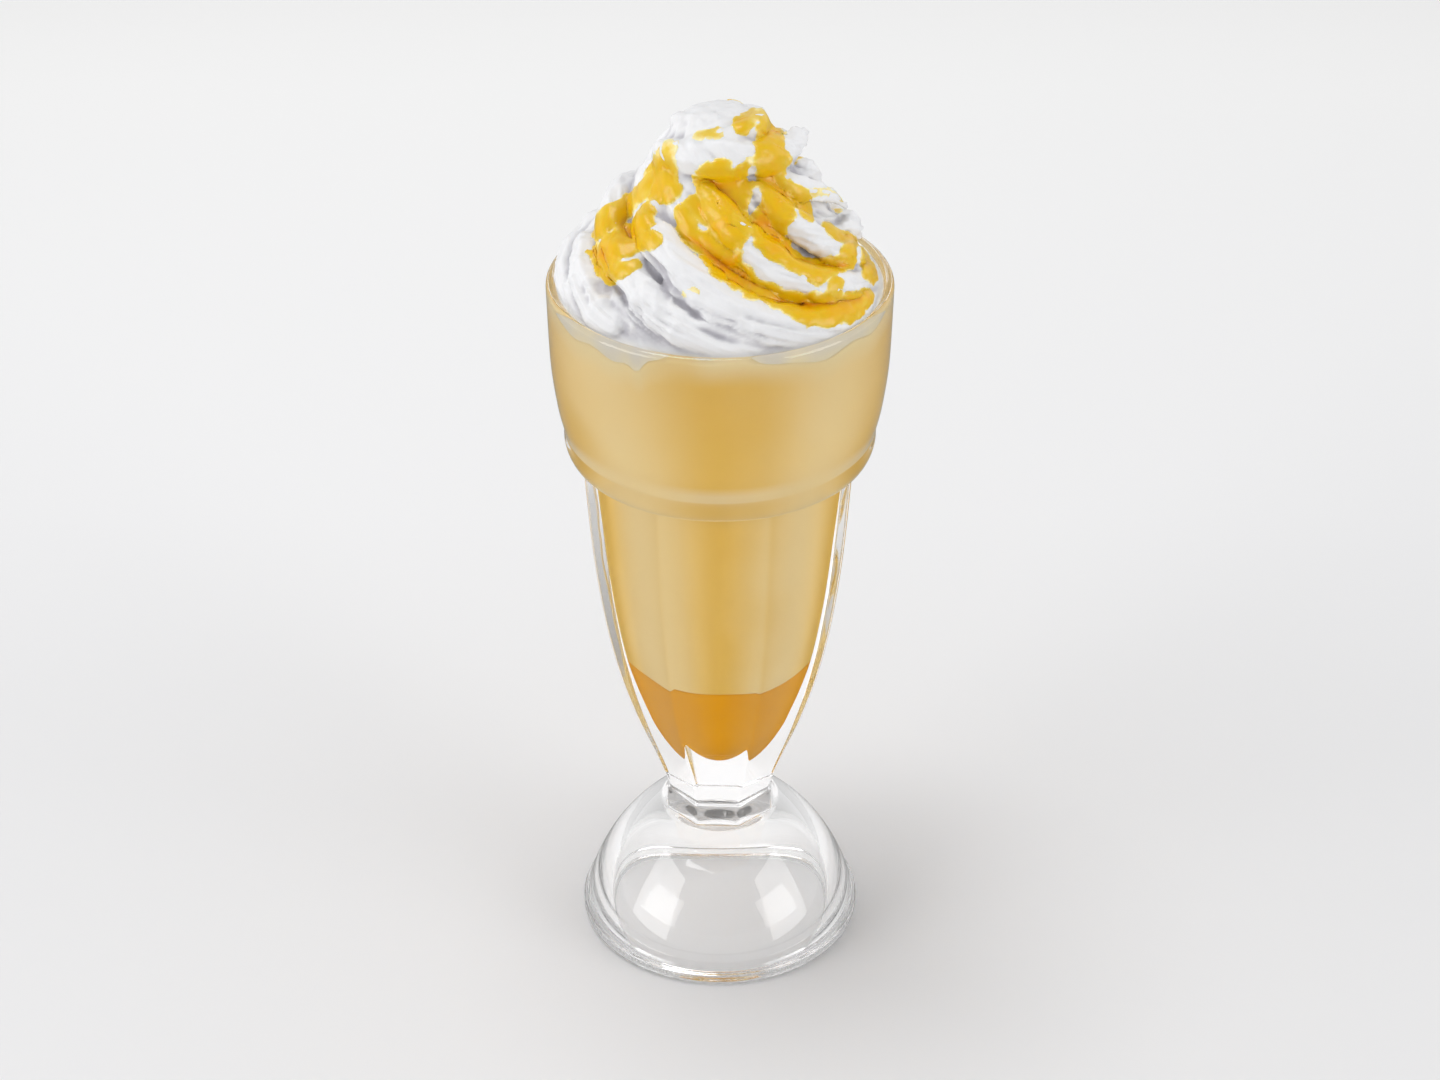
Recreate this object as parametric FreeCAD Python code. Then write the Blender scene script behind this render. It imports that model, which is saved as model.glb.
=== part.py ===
import FreeCAD, Part
import math
import os

# Mango milkshake in its footed, panelled glass. Millimetres, +Z up, -Y is the front.
# The origin is on the table, under the middle of the foot.

# Glass: overall sizes
GLASS_HEIGHT = 190.0
PANELS = 8
PANEL_EDGE_ROUND = 1.8
FRONT_PANEL_TURN = 2.5
LIP_WALL = 2.6

# Round band above the panels: depth below the lip, outer radius, wall thickness
BAND_SECTIONS = (
    (40.0, 38.3, 12.3),
    (32.0, 40.0, 10.5),
    (20.0, 41.3, 6.7),
    (0.0, 41.8, LIP_WALL),
)
COLLAR_DEPTH = 6.5
COLLAR_LOWER_RADIUS = 36.7
COLLAR_UNDERSIDE = GLASS_HEIGHT - BAND_SECTIONS[0][0] - COLLAR_DEPTH

# Panelled body: height, radius at the ridges, wall behind the middle of a panel
BODY_SECTIONS = (
    (66.0, 22.6, 10.0),
    (82.0, 27.4, 9.0),
    (99.0, 30.9, 9.4),
    (120.0, 33.6, 9.7),
    (COLLAR_UNDERSIDE, 35.4, 8.7),
)
# Below the bore the body is solid: height, radius at the ridges
SOLID_SECTIONS = (
    (42.0, 13.9),
    (51.0, 16.9),
)
BORE_FLOOR = 56.0
FLOOR_ROUND_HEIGHT = 10.0

# Panelled ring between the body and the foot
RING_BOTTOM = 35.0
RING_RADIUS = 14.6
RING_EDGE_BEVEL = 0.7
OVERLAP = 0.6

# Hollow, domed foot
FOOT_RADIUS = 37.0
FOOT_EDGE_HEIGHT = 3.6
FOOT_LOWER_ROUND = 1.7
FOOT_UPPER_ROUND = 0.9
FOOT_TOP_RADIUS = 15.5
FOOT_BULGE = 2.6
FOOT_RING_WIDTH = 7.5
HOLLOW_HEIGHT = 26.0
HOLLOW_BULGE = 8.0

# Contents, from the bottom of the bore up
SAUCE_LEVEL = 83.0
SHAKE_LEVEL = 185.0

# Whipped cream piped in one coiled swirl that stands on the lip's level
CREAM_RISE = 46.0
CREAM_OVERLAP = 0.2
CREAM_WALL_GAP = 0.3
CREAM_TAPER = 0.8
CREAM_RIDGES = 7
CREAM_RIDGE_DEPTH = 0.16
CREAM_RIDGE_TWIST = 170.0
CREAM_COILS = 2.0
CREAM_COIL_OFFSET = 2.4
CREAM_LEVELS = 15
CREAM_POINTS_PER_RIDGE = 6

HALF_PANEL = math.pi / PANELS


def point(radius, height):
    """A point of a turned outline."""
    return FreeCAD.Vector(radius, 0, height)


def line(start, end):
    return Part.LineSegment(start, end).toShape()


def bulged_arc(start, end, bulge):
    """An arc whose middle stands out from its chord, to the right of start to end."""
    chord = end - start
    outward = FreeCAD.Vector(chord.z, 0, -chord.x).normalize()
    middle = (start + end) * 0.5 + outward * bulge
    return Part.Arc(start, middle, end).toShape()


def round_edge(centre, radius, first_angle, last_angle):
    """An arc about a centre, from one angle to another, in degrees up from outward."""
    ends = []
    for angle in (first_angle, (first_angle + last_angle) / 2, last_angle):
        turn = math.radians(angle)
        ends.append(centre + point(radius * math.cos(turn), radius * math.sin(turn)))
    return Part.Arc(*ends).toShape()


def spline(points, first_tangent=None, last_tangent=None):
    """A smooth curve through the points."""
    curve = Part.BSplineCurve()
    if first_tangent:
        curve.interpolate(
            Points=points, InitialTangent=first_tangent, FinalTangent=last_tangent
        )
    else:
        curve.interpolate(points)
    return curve.toShape()


def turned(edges):
    """The solid that an outline closed on the axis sweeps in one full turn."""
    face = Part.Face(Part.Wire(edges))
    return face.revolve(FreeCAD.Vector(0, 0, 0), FreeCAD.Vector(0, 0, 1), 360)


def panelled_outline(ridge_radius, height, ridge_round=PANEL_EDGE_ROUND):
    """A regular outline with rounded ridges, one flat side turned a little off the front."""
    inset = ridge_round * math.tan(HALF_PANEL)
    corner_reach = (ridge_radius - ridge_round) + ridge_round / math.cos(HALF_PANEL)
    side = 2 * corner_reach * math.sin(HALF_PANEL)
    share = inset / side
    front = math.radians(-90 - FRONT_PANEL_TURN)
    edges = []
    corners = []
    for index in range(PANELS):
        angle = front + (2 * index + 1) * HALF_PANEL
        x = corner_reach * math.cos(angle)
        y = corner_reach * math.sin(angle)
        corners.append(FreeCAD.Vector(x, y, height))
    for index, corner in enumerate(corners):
        after = corners[(index + 1) % PANELS]
        before = corners[index - 1]
        outward = FreeCAD.Vector(corner.x, corner.y, 0).normalize()
        ridge = FreeCAD.Vector(0, 0, height) + outward * ridge_radius
        arrive = corner + (before - corner) * share
        leave = corner + (after - corner) * share
        edges.append(Part.Arc(arrive, ridge, leave).toShape())
        edges.append(line(leave, after + (corner - after) * share))
    return Part.Wire(edges)


def panelled_body():
    """The tapering body with its flat panels, from the ring up to the collar."""
    rows = SOLID_SECTIONS + tuple(row[:2] for row in BODY_SECTIONS)
    top_height, top_radius = rows[-1]
    sections = [panelled_outline(radius, height) for height, radius in rows]
    body = Part.makeLoft(sections, True, False)
    into_band = panelled_outline(top_radius, top_height)
    return body.fuse(Part.Face(into_band).extrude(FreeCAD.Vector(0, 0, OVERLAP)))


def round_band():
    """The smooth band from the collar's underside up to the rounded lip."""
    lip = LIP_WALL / 2
    outline = [point(row[1], GLASS_HEIGHT - row[0]) for row in BAND_SECTIONS[:-1]]
    outer_top = point(BAND_SECTIONS[-1][1], GLASS_HEIGHT - lip)
    outline.append(outer_top)
    lower = outline[0]
    underside = point(COLLAR_LOWER_RADIUS, COLLAR_UNDERSIDE)
    lip_centre = outer_top - point(lip, 0)
    lip_inside = outer_top - point(LIP_WALL, 0)
    axis_low = point(0, COLLAR_UNDERSIDE)
    axis_high = point(0, GLASS_HEIGHT - lip)
    edges = [
        line(axis_low, underside),
        bulged_arc(underside, lower, (lower.x - underside.x) / 2),
        spline(outline),
        round_edge(lip_centre, lip, 0, 180),
        line(lip_inside, axis_high),
        line(axis_high, axis_low),
    ]
    return turned(edges)


def bore_radius_in_body(height):
    """The bore's radius between two rows of the body's sections."""
    for below, above in zip(BODY_SECTIONS, BODY_SECTIONS[1:]):
        if height <= above[0]:
            break
    share = (height - below[0]) / (above[0] - below[0])
    ridge_radius = below[1] + (above[1] - below[1]) * share
    wall = below[2] + (above[2] - below[2]) * share
    return ridge_radius * math.cos(HALF_PANEL) - wall


def bore():
    """The inside of the glass, from its rounded floor to above the lip."""
    floor_end = BORE_FLOOR + FLOOR_ROUND_HEIGHT
    heights = [floor_end] + [row[0] for row in BODY_SECTIONS if row[0] > floor_end]
    wall_points = [point(0, BORE_FLOOR)]
    for height in heights:
        wall_points.append(point(bore_radius_in_body(height), height))
    for depth, radius, wall in BAND_SECTIONS[:-1]:
        wall_points.append(point(radius - wall, GLASS_HEIGHT - depth))
    lip_inside = point(BAND_SECTIONS[-1][1] - LIP_WALL, GLASS_HEIGHT - LIP_WALL / 2)
    wall_points.append(lip_inside)
    above = lip_inside + FreeCAD.Vector(0, 0, LIP_WALL)
    edges = [
        spline(wall_points, FreeCAD.Vector(1, 0, 0), FreeCAD.Vector(0, 0, 1)),
        line(lip_inside, above),
        line(above, point(0, above.z)),
        line(point(0, above.z), wall_points[0]),
    ]
    return turned(edges)


def ring():
    """The panelled ring under the body, with bevelled edges."""
    top = SOLID_SECTIONS[0][0]
    rows = (
        (RING_BOTTOM - OVERLAP, RING_RADIUS),
        (top - RING_EDGE_BEVEL, RING_RADIUS),
        (top + OVERLAP, RING_RADIUS - RING_EDGE_BEVEL - OVERLAP),
    )
    sections = [panelled_outline(radius, height) for height, radius in rows]
    return Part.makeLoft(sections, True, True)


def foot():
    """The domed foot with a rounded edge, before its hollow is cut."""
    lower_centre = point(FOOT_RADIUS - FOOT_LOWER_ROUND, FOOT_LOWER_ROUND)
    upper_centre = point(FOOT_RADIUS - FOOT_UPPER_ROUND, FOOT_EDGE_HEIGHT - FOOT_UPPER_ROUND)
    dome_start = point(upper_centre.x, FOOT_EDGE_HEIGHT)
    dome_end = point(FOOT_TOP_RADIUS, RING_BOTTOM)
    axis_low = point(0, 0)
    axis_high = point(0, RING_BOTTOM)
    edges = [
        line(axis_low, point(lower_centre.x, 0)),
        round_edge(lower_centre, FOOT_LOWER_ROUND, -90, 0),
        line(point(FOOT_RADIUS, lower_centre.z), point(FOOT_RADIUS, upper_centre.z)),
        round_edge(upper_centre, FOOT_UPPER_ROUND, 0, 90),
        bulged_arc(dome_start, dome_end, FOOT_BULGE),
        line(dome_end, axis_high),
        line(axis_high, axis_low),
    ]
    return turned(edges)


def foot_hollow():
    """The domed space under the foot."""
    low = -OVERLAP
    rim = point(FOOT_RADIUS - FOOT_RING_WIDTH, 0)
    top = point(0, HOLLOW_HEIGHT)
    edges = [
        line(point(0, low), point(rim.x, low)),
        line(point(rim.x, low), rim),
        bulged_arc(rim, top, HOLLOW_BULGE),
        line(top, point(0, low)),
    ]
    return turned(edges)


def glass():
    solid = panelled_body().fuse([round_band(), ring(), foot()]).removeSplitter()
    return solid.cut(bore()).cut(foot_hollow())


def bore_between(low, high):
    """The part of the bore between two levels, so that it meets the glass all round."""
    reach = 2 * FOOT_RADIUS
    slab = Part.makeCylinder(reach, high - low, FreeCAD.Vector(0, 0, low))
    return bore().common(slab)


def cream_outline(share, base_radius, height):
    """One closed outline of the swirl, at a share of its rise."""
    mean = base_radius * (1 - share) ** CREAM_TAPER
    ridge_turn = -math.radians(CREAM_RIDGE_TWIST) * share
    coil_turn = -2 * math.pi * CREAM_COILS * share
    coil_offset = CREAM_COIL_OFFSET * math.sin(math.pi * share)
    count = CREAM_RIDGES * CREAM_POINTS_PER_RIDGE
    points = []
    for index in range(count):
        angle = 2 * math.pi * index / count
        valley = (1 - math.cos(CREAM_RIDGES * (angle - ridge_turn))) / 2
        radius = mean * (1 - CREAM_RIDGE_DEPTH * valley)
        radius += coil_offset * math.cos(angle - coil_turn)
        x = radius * math.cos(angle)
        y = radius * math.sin(angle)
        points.append(FreeCAD.Vector(x, y, height))
    curve = Part.BSplineCurve()
    curve.interpolate(points, PeriodicFlag=True)
    return Part.Wire([curve.toShape()])


def whipped_cream():
    """A plug of cream inside the lip, and the coiled swirl that rises from it."""
    base_radius = BAND_SECTIONS[-1][1] - LIP_WALL - CREAM_WALL_GAP
    plug_top = GLASS_HEIGHT - LIP_WALL / 2
    base_height = plug_top - CREAM_OVERLAP
    peak_height = GLASS_HEIGHT + CREAM_RISE
    outlines = []
    for level in range(CREAM_LEVELS):
        share = level / CREAM_LEVELS
        height = base_height + share * (peak_height - base_height)
        outlines.append(cream_outline(share, base_radius, height))
    outlines.append(Part.Vertex(FreeCAD.Vector(0, 0, peak_height)))
    swirl = Part.makeLoft(outlines, True, False)
    plug = bore_between(SHAKE_LEVEL, plug_top)
    return plug.fuse(swirl)


def main():
    os.makedirs("parts", exist_ok=True)
    nodes = {
        "glass": glass(),
        "mango_sauce": bore_between(BORE_FLOOR, SAUCE_LEVEL),
        "milkshake": bore_between(SAUCE_LEVEL, SHAKE_LEVEL),
        "whipped_cream": whipped_cream(),
    }
    for name, shape in nodes.items():
        shape.Solids[0].exportStep("parts/" + name + ".step")
        print(name, len(shape.Solids), "solid,", round(shape.Volume), "cubic millimetres")


main()
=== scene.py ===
# The looks of a mango milkshake: a footed, panelled soda glass with a layer of mango sauce,
# a thick shake, and a ridged swirl of whipped cream under runs of mango sauce.
# Shapes are worked out in millimetres, with +Z up and the front towards -Y.

import logging
import math
from dataclasses import dataclass
from enum import Enum

import bpy
import numpy as np
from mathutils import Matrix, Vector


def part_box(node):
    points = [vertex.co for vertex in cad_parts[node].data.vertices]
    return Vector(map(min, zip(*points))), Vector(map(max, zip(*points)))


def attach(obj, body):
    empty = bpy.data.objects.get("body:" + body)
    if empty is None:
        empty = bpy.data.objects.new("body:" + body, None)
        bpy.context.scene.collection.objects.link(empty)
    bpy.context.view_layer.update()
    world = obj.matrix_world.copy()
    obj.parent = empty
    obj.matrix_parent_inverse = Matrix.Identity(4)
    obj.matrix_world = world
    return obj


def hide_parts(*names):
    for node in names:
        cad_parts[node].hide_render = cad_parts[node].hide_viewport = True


LOG = logging.getLogger("milkshake")
MM = 0.001
Array = np.ndarray
Rows = tuple[tuple[float, ...], ...]
Tone = tuple[float, ...]
Spot = tuple[float, float]
FULL_TURN = 2 * math.pi
SAUCE_ABOVE_LIP = 0.8

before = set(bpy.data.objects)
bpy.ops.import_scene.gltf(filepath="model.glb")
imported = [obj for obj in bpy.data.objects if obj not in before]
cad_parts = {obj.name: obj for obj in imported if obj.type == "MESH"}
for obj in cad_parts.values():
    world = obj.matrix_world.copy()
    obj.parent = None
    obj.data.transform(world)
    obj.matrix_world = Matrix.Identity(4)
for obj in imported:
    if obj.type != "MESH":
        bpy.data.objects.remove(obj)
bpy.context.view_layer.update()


class Slot(Enum):
    """The names of the material slots for the new pieces."""

    GLASS = "clear_glass"
    SAUCE = "mango_sauce"
    SHAKE = "milkshake"
    CREAM = "whipped_cream"


# ---------------------------------------------------------------- curves and noise


def smooth_curve(x: Array, knots: Rows) -> Array:
    """A smooth curve through knots that never overshoots them.

    Each span is a cubic whose end slopes are the harmonic means of the two straight slopes
    beside the knot, and zero where they turn.

    Args:
        x: where the curve is wanted.
        knots: pairs of place and value, in rising order of place.

    Returns:
        The curve's values at x.
    """
    kx, ky = np.array([row[0] for row in knots]), np.array([row[1] for row in knots])
    step, slope = np.diff(kx), np.diff(ky) / np.diff(kx)
    before, after = slope[:-1], slope[1:]
    same = before * after > 0
    safe = np.where(same, before + after, 1.0)
    inner = np.where(same, 2 * before * after / safe, 0.0)
    ends = np.concatenate([[slope[0]], inner, [slope[-1]]])
    span = np.clip(np.searchsorted(kx, x, side="right") - 1, 0, len(step) - 1)
    t = np.clip((x - kx[span]) / step[span], 0.0, 1.0)
    rise = ky[span + 1] - ky[span]
    low, high = ends[span] * step[span], ends[span + 1] * step[span]
    return ky[span] + t * low + t**2 * (3 * rise - 2 * low - high) + t**3 * (low + high - 2 * rise)


def bulged_arc(start: Spot, end: Spot, bulge: float, count: int) -> Array:
    """Points on an arc whose middle stands out from its chord, to the right of its way.

    A chord c and a bulge s give the half angle a = 2 atan(2 s / c) and the radius c / (2 sin a).

    Args:
        start: first point, as radius and height.
        end: last point.
        bulge: how far the middle stands out.
        count: how many points.

    Returns:
        The points, one row each.
    """
    first, last = np.array(start), np.array(end)
    chord = last - first
    length = float(np.hypot(*chord))
    along = chord / length
    outward = np.array([along[1], -along[0]])
    half = 2 * math.atan(2 * bulge / length)
    radius = length / (2 * math.sin(half))
    turn = np.linspace(-half, half, count)
    middle = (first + last) / 2
    across = np.sin(turn)[:, None] * along * radius
    return middle + across + (np.cos(turn) - math.cos(half))[:, None] * outward * radius


def straight(start: Spot, end: Spot, count: int) -> Array:
    """Evenly spaced points from start to end."""
    return np.linspace(start, end, count)


def around(radius: Array, turn: Array, height: Array) -> Array:
    """Points at a radius, an angle and a height, as x, y and z along a last axis."""
    parts = np.broadcast_arrays(radius * np.cos(turn), radius * np.sin(turn), height)
    return np.stack(parts, axis=-1)


def on_axis(height: float) -> Array:
    """The point on the glass's axis at a height."""
    return np.array([0.0, 0.0, height])


def direction(points: Array) -> Array:
    """The angle of each point round the axis."""
    return np.arctan2(points[:, 1], points[:, 0])


def blurred(values: Array, spread: float) -> Array:
    """Rows of values smoothed along the first axis by a bell of that spread, ends kept.

    Args:
        values: one row for each evenly spaced sample.
        spread: the bell's spread, in samples.

    Returns:
        The smoothed rows.
    """
    reach = int(math.ceil(3 * spread))
    bell = np.exp(-0.5 * (np.arange(-reach, reach + 1) / spread) ** 2)
    bell /= bell.sum()
    mirrored = np.concatenate(
        [2 * values[0] - values[reach:0:-1], values, 2 * values[-1] - values[-2 : -reach - 2 : -1]]
    )
    columns = [np.convolve(mirrored[:, i], bell, "valid") for i in range(values.shape[1])]
    return np.stack(columns, axis=1)


def lattice(cells: Array, seed: int) -> Array:
    """A repeatable random value from -1 to 1 for each whole-number cell."""
    mixed = cells[..., 0] * 73856093 ^ cells[..., 1] * 19349663 ^ cells[..., 2] * 83492791
    mixed = (mixed ^ (seed * 2654435761)) & 0xFFFFFFFF
    mixed = ((mixed >> 16) ^ mixed) * 0x45D9F3B & 0xFFFFFFFF
    mixed = ((mixed >> 16) ^ mixed) * 0x45D9F3B & 0xFFFFFFFF
    return ((mixed >> 16) ^ mixed).astype(float) / 0x7FFFFFFF - 1.0


def noise(points: Array, size: float, seed: int) -> Array:
    """Smooth noise from about -1 to 1: random values at the corners of a lattice, blended.

    Args:
        points: places, one row each, in millimetres.
        size: the lattice's spacing.
        seed: which noise.

    Returns:
        One value for each point.
    """
    scaled = points / size
    base = np.floor(scaled).astype(np.int64)
    part = scaled - base
    ease = part * part * part * (part * (part * 6 - 15) + 10)
    total = np.zeros(points.shape[:-1])
    for corner in np.ndindex(2, 2, 2):
        offset = np.array(corner)
        weight = np.prod(np.where(offset == 1, ease, 1 - ease), axis=-1)
        total += weight * lattice(base + offset, seed)
    return total


def rough(points: Array, size: float, seed: int, layers: int = 3) -> Array:
    """Several layers of noise, each half the size and half the height of the one before."""
    total = np.zeros(points.shape[:-1])
    for layer in range(layers):
        total += noise(points, size / 2**layer, seed + 17 * layer) / 2**layer
    return total


def bump_at(angle: Array, centre: float, width: float) -> Array:
    """A bell of height 1 round the axis, centred on an angle, all in degrees."""
    away = (angle - centre + 180) % 360 - 180
    return np.exp(-((away / width) ** 2))


# ---------------------------------------------------------------- meshes


def mesh_object(name: str, points: Array, faces: list[Array]) -> bpy.types.Object:
    """A smooth-shaded object made from points in millimetres.

    Args:
        name: the object's name.
        points: one row for each vertex.
        faces: arrays of corner numbers, one row for each face, of three or four columns.

    Returns:
        The object, at the origin, linked to the scene.
    """
    mesh = bpy.data.meshes.new(name)
    flat = np.concatenate([block.ravel() for block in faces]).astype(np.int32)
    sizes = np.concatenate([np.full(len(block), block.shape[1]) for block in faces])
    starts = np.concatenate([[0], np.cumsum(sizes)[:-1]]).astype(np.int32)
    mesh.vertices.add(len(points))
    mesh.vertices.foreach_set("co", (points * MM).astype(np.float32).ravel())
    mesh.loops.add(len(flat))
    mesh.loops.foreach_set("vertex_index", flat)
    mesh.polygons.add(len(sizes))
    mesh.polygons.foreach_set("loop_start", starts)
    mesh.polygons.foreach_set("use_smooth", np.ones(len(sizes), bool))
    mesh.update(calc_edges=True)
    mesh.validate()
    piece = bpy.data.objects.new(name, mesh)
    bpy.context.scene.collection.objects.link(piece)
    return piece


def wrapped(name: str, grid: Array, first_pole: Array, last_pole: Array) -> bpy.types.Object:
    """A closed surface from rings of points: the rings are joined in order, and each end
    runs to a pole. Rings that rise while their points turn anticlockwise face outwards.

    Args:
        name: the object's name.
        grid: rings by points by three.
        first_pole: the point that closes the first ring.
        last_pole: the point that closes the last ring.

    Returns:
        The object.
    """
    rings, count = grid.shape[:2]
    number = np.arange(rings * count).reshape(rings, count)
    right = np.roll(number, -1, axis=1)
    quads = np.stack([number[:-1], right[:-1], right[1:], number[1:]], axis=-1).reshape(-1, 4)
    first, last = rings * count, rings * count + 1
    low = np.stack([np.full(count, first), right[0], number[0]], axis=-1)
    high = np.stack([np.full(count, last), number[-1], right[-1]], axis=-1)
    points = np.concatenate([grid.reshape(-1, 3), [first_pole, last_pole]])
    return mesh_object(name, points, [quads, low, high])


def read_points(piece: bpy.types.Object) -> Array:
    """A piece's vertices in millimetres."""
    flat = np.empty(len(piece.data.vertices) * 3, np.float32)
    piece.data.vertices.foreach_get("co", flat)
    return flat.reshape(-1, 3).astype(float) / MM


def read_normals(piece: bpy.types.Object) -> Array:
    """A piece's vertex normals."""
    flat = np.empty(len(piece.data.vertices) * 3, np.float32)
    piece.data.vertex_normals.foreach_get("vector", flat)
    return flat.reshape(-1, 3).astype(float)


def write_points(piece: bpy.types.Object, points: Array) -> None:
    """Moves a piece's vertices to points in millimetres."""
    piece.data.vertices.foreach_set("co", (points * MM).astype(np.float32).ravel())
    piece.data.update()


def write_attribute(piece: bpy.types.Object, name: str, values: Array) -> None:
    """Stores one number for each vertex, for a material to read."""
    layer = piece.data.attributes.new(name, "FLOAT", "POINT")
    layer.data.foreach_set("value", values.astype(np.float32))


def read_corners(piece: bpy.types.Object) -> tuple[Array, Array]:
    """A piece's corner numbers and the size of each face."""
    flat = np.empty(len(piece.data.loops), np.int32)
    piece.data.loops.foreach_get("vertex_index", flat)
    sizes = np.empty(len(piece.data.polygons), np.int32)
    piece.data.polygons.foreach_get("loop_total", sizes)
    return flat, sizes


def relaxed(piece: bpy.types.Object, values: Array, rounds: int) -> Array:
    """Each vertex's values replaced, over several rounds, by the mean of its neighbours'.

    Args:
        piece: the object whose edges say which vertices are neighbours.
        values: one row for each vertex.
        rounds: how many times.

    Returns:
        The relaxed rows.
    """
    pairs = np.empty(len(piece.data.edges) * 2, np.int32)
    piece.data.edges.foreach_get("vertices", pairs)
    first, second = pairs.reshape(-1, 2).T
    count = np.bincount(first, minlength=len(values)) + np.bincount(second, minlength=len(values))
    for _ in range(rounds):
        total = np.zeros_like(values)
        for axis in range(values.shape[1]):
            total[:, axis] = np.bincount(first, values[second, axis], len(values))
            total[:, axis] += np.bincount(second, values[first, axis], len(values))
        values = total / count[:, None]
    return values


def remeshed(piece: bpy.types.Object, voxel: float) -> bpy.types.Object:
    """Joins a piece's overlapping parts into one closed skin of even cells.

    Args:
        piece: the object, whose mesh is replaced.
        voxel: the cell size in millimetres.

    Returns:
        The same object.
    """
    modifier = piece.modifiers.new("skin", "REMESH")
    modifier.mode = "VOXEL"
    modifier.voxel_size = voxel * MM
    graph = bpy.context.evaluated_depsgraph_get()
    mesh = bpy.data.meshes.new_from_object(piece.evaluated_get(graph))
    piece.modifiers.clear()
    old, piece.data = piece.data, mesh
    mesh.name = piece.name
    bpy.data.meshes.remove(old)
    mesh.polygons.foreach_set("use_smooth", np.ones(len(mesh.polygons), bool))
    return piece


def dress(piece: bpy.types.Object, material: bpy.types.Material, slot: Slot, *nodes: str) -> None:
    """Gives a piece its finish, its body and the CAD nodes that it stands for."""
    piece.data.materials.clear()
    piece.data.materials.append(material)
    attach(piece, "root")
    if nodes:
        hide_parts(*nodes)
    mesh = piece.data
    LOG.info("%s: %d vertices, %d faces", piece.name, len(mesh.vertices), len(mesh.polygons))


# ---------------------------------------------------------------- finishes


def add_ramp(
    tree: bpy.types.NodeTree, source: bpy.types.NodeSocket, stops: Rows
) -> bpy.types.NodeSocket:
    """Adds a colour ramp.

    Args:
        tree: the tree it goes in.
        source: what it reads.
        stops: for each stop a position and a colour.

    Returns:
        The socket that gives the colour.
    """
    ramp = tree.nodes.new("ShaderNodeValToRGB")
    points = ramp.color_ramp.elements
    while len(points) < len(stops):
        points.new(1.0)
    for element, (position, *colour) in zip(points, stops):
        element.position = position
        element.color = (*colour, 1.0)
    tree.links.new(source, ramp.inputs["Fac"])
    return ramp.outputs["Color"]


def add_colour_mix(tree: bpy.types.NodeTree) -> bpy.types.Node:
    """Adds a node that mixes two colours."""
    mix = tree.nodes.new("ShaderNodeMix")
    mix.data_type = "RGBA"
    return mix


class Shader:
    """A material's node tree, with short ways to add and join nodes."""

    def __init__(self, name: str) -> None:
        """Makes an empty material that ends in a Principled surface."""
        self.material = bpy.data.materials.new(name)
        self.material.use_nodes = True
        self.tree = self.material.node_tree
        self.surface = self.tree.nodes["Principled BSDF"]

    def node(self, kind: str, **inputs: object) -> bpy.types.Node:
        """Adds a node and sets its inputs by name, with _ for a space."""
        made = self.tree.nodes.new(kind)
        for name, value in inputs.items():
            made.inputs[name.replace("_", " ")].default_value = value
        return made

    def join(self, source: bpy.types.NodeSocket, target: bpy.types.NodeSocket) -> None:
        """Runs one socket into another."""
        self.tree.links.new(source, target)

    def set(self, **inputs: object) -> None:
        """Sets the surface's own inputs by name, with _ for a space."""
        for name, value in inputs.items():
            self.surface.inputs[name.replace("_", " ")].default_value = value

    def place(self) -> bpy.types.NodeSocket:
        """The socket that gives the place on the piece."""
        return self.node("ShaderNodeTexCoord").outputs["Object"]

    def ramp(self, source: bpy.types.NodeSocket, stops: Rows) -> bpy.types.NodeSocket:
        """A colour ramp: each stop is a position and a colour."""
        return add_ramp(self.tree, source, stops)

    def attribute(self, name: str) -> bpy.types.NodeSocket:
        """The socket that gives a number stored on the piece."""
        node = self.node("ShaderNodeAttribute")
        node.attribute_name = name
        return node.outputs["Fac"]

    def bump(self, height: bpy.types.NodeSocket, distance: float) -> None:
        """Raises the surface's look by a height times a distance in metres."""
        bump = self.node("ShaderNodeBump", Strength=1.0, Distance=distance)
        self.join(height, bump.inputs["Height"])
        self.join(bump.outputs["Normal"], self.surface.inputs["Normal"])

    def blend(
        self, share: bpy.types.NodeSocket, colour: bpy.types.NodeSocket, other: Tone
    ) -> bpy.types.NodeSocket:
        """Goes from one colour to another, fixed one, by a share."""
        mix = add_colour_mix(self.tree)
        mix.inputs["B"].default_value = (*other, 1.0)
        self.join(share, mix.inputs["Factor"])
        self.join(colour, mix.inputs["A"])
        return mix.outputs["Result"]


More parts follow.
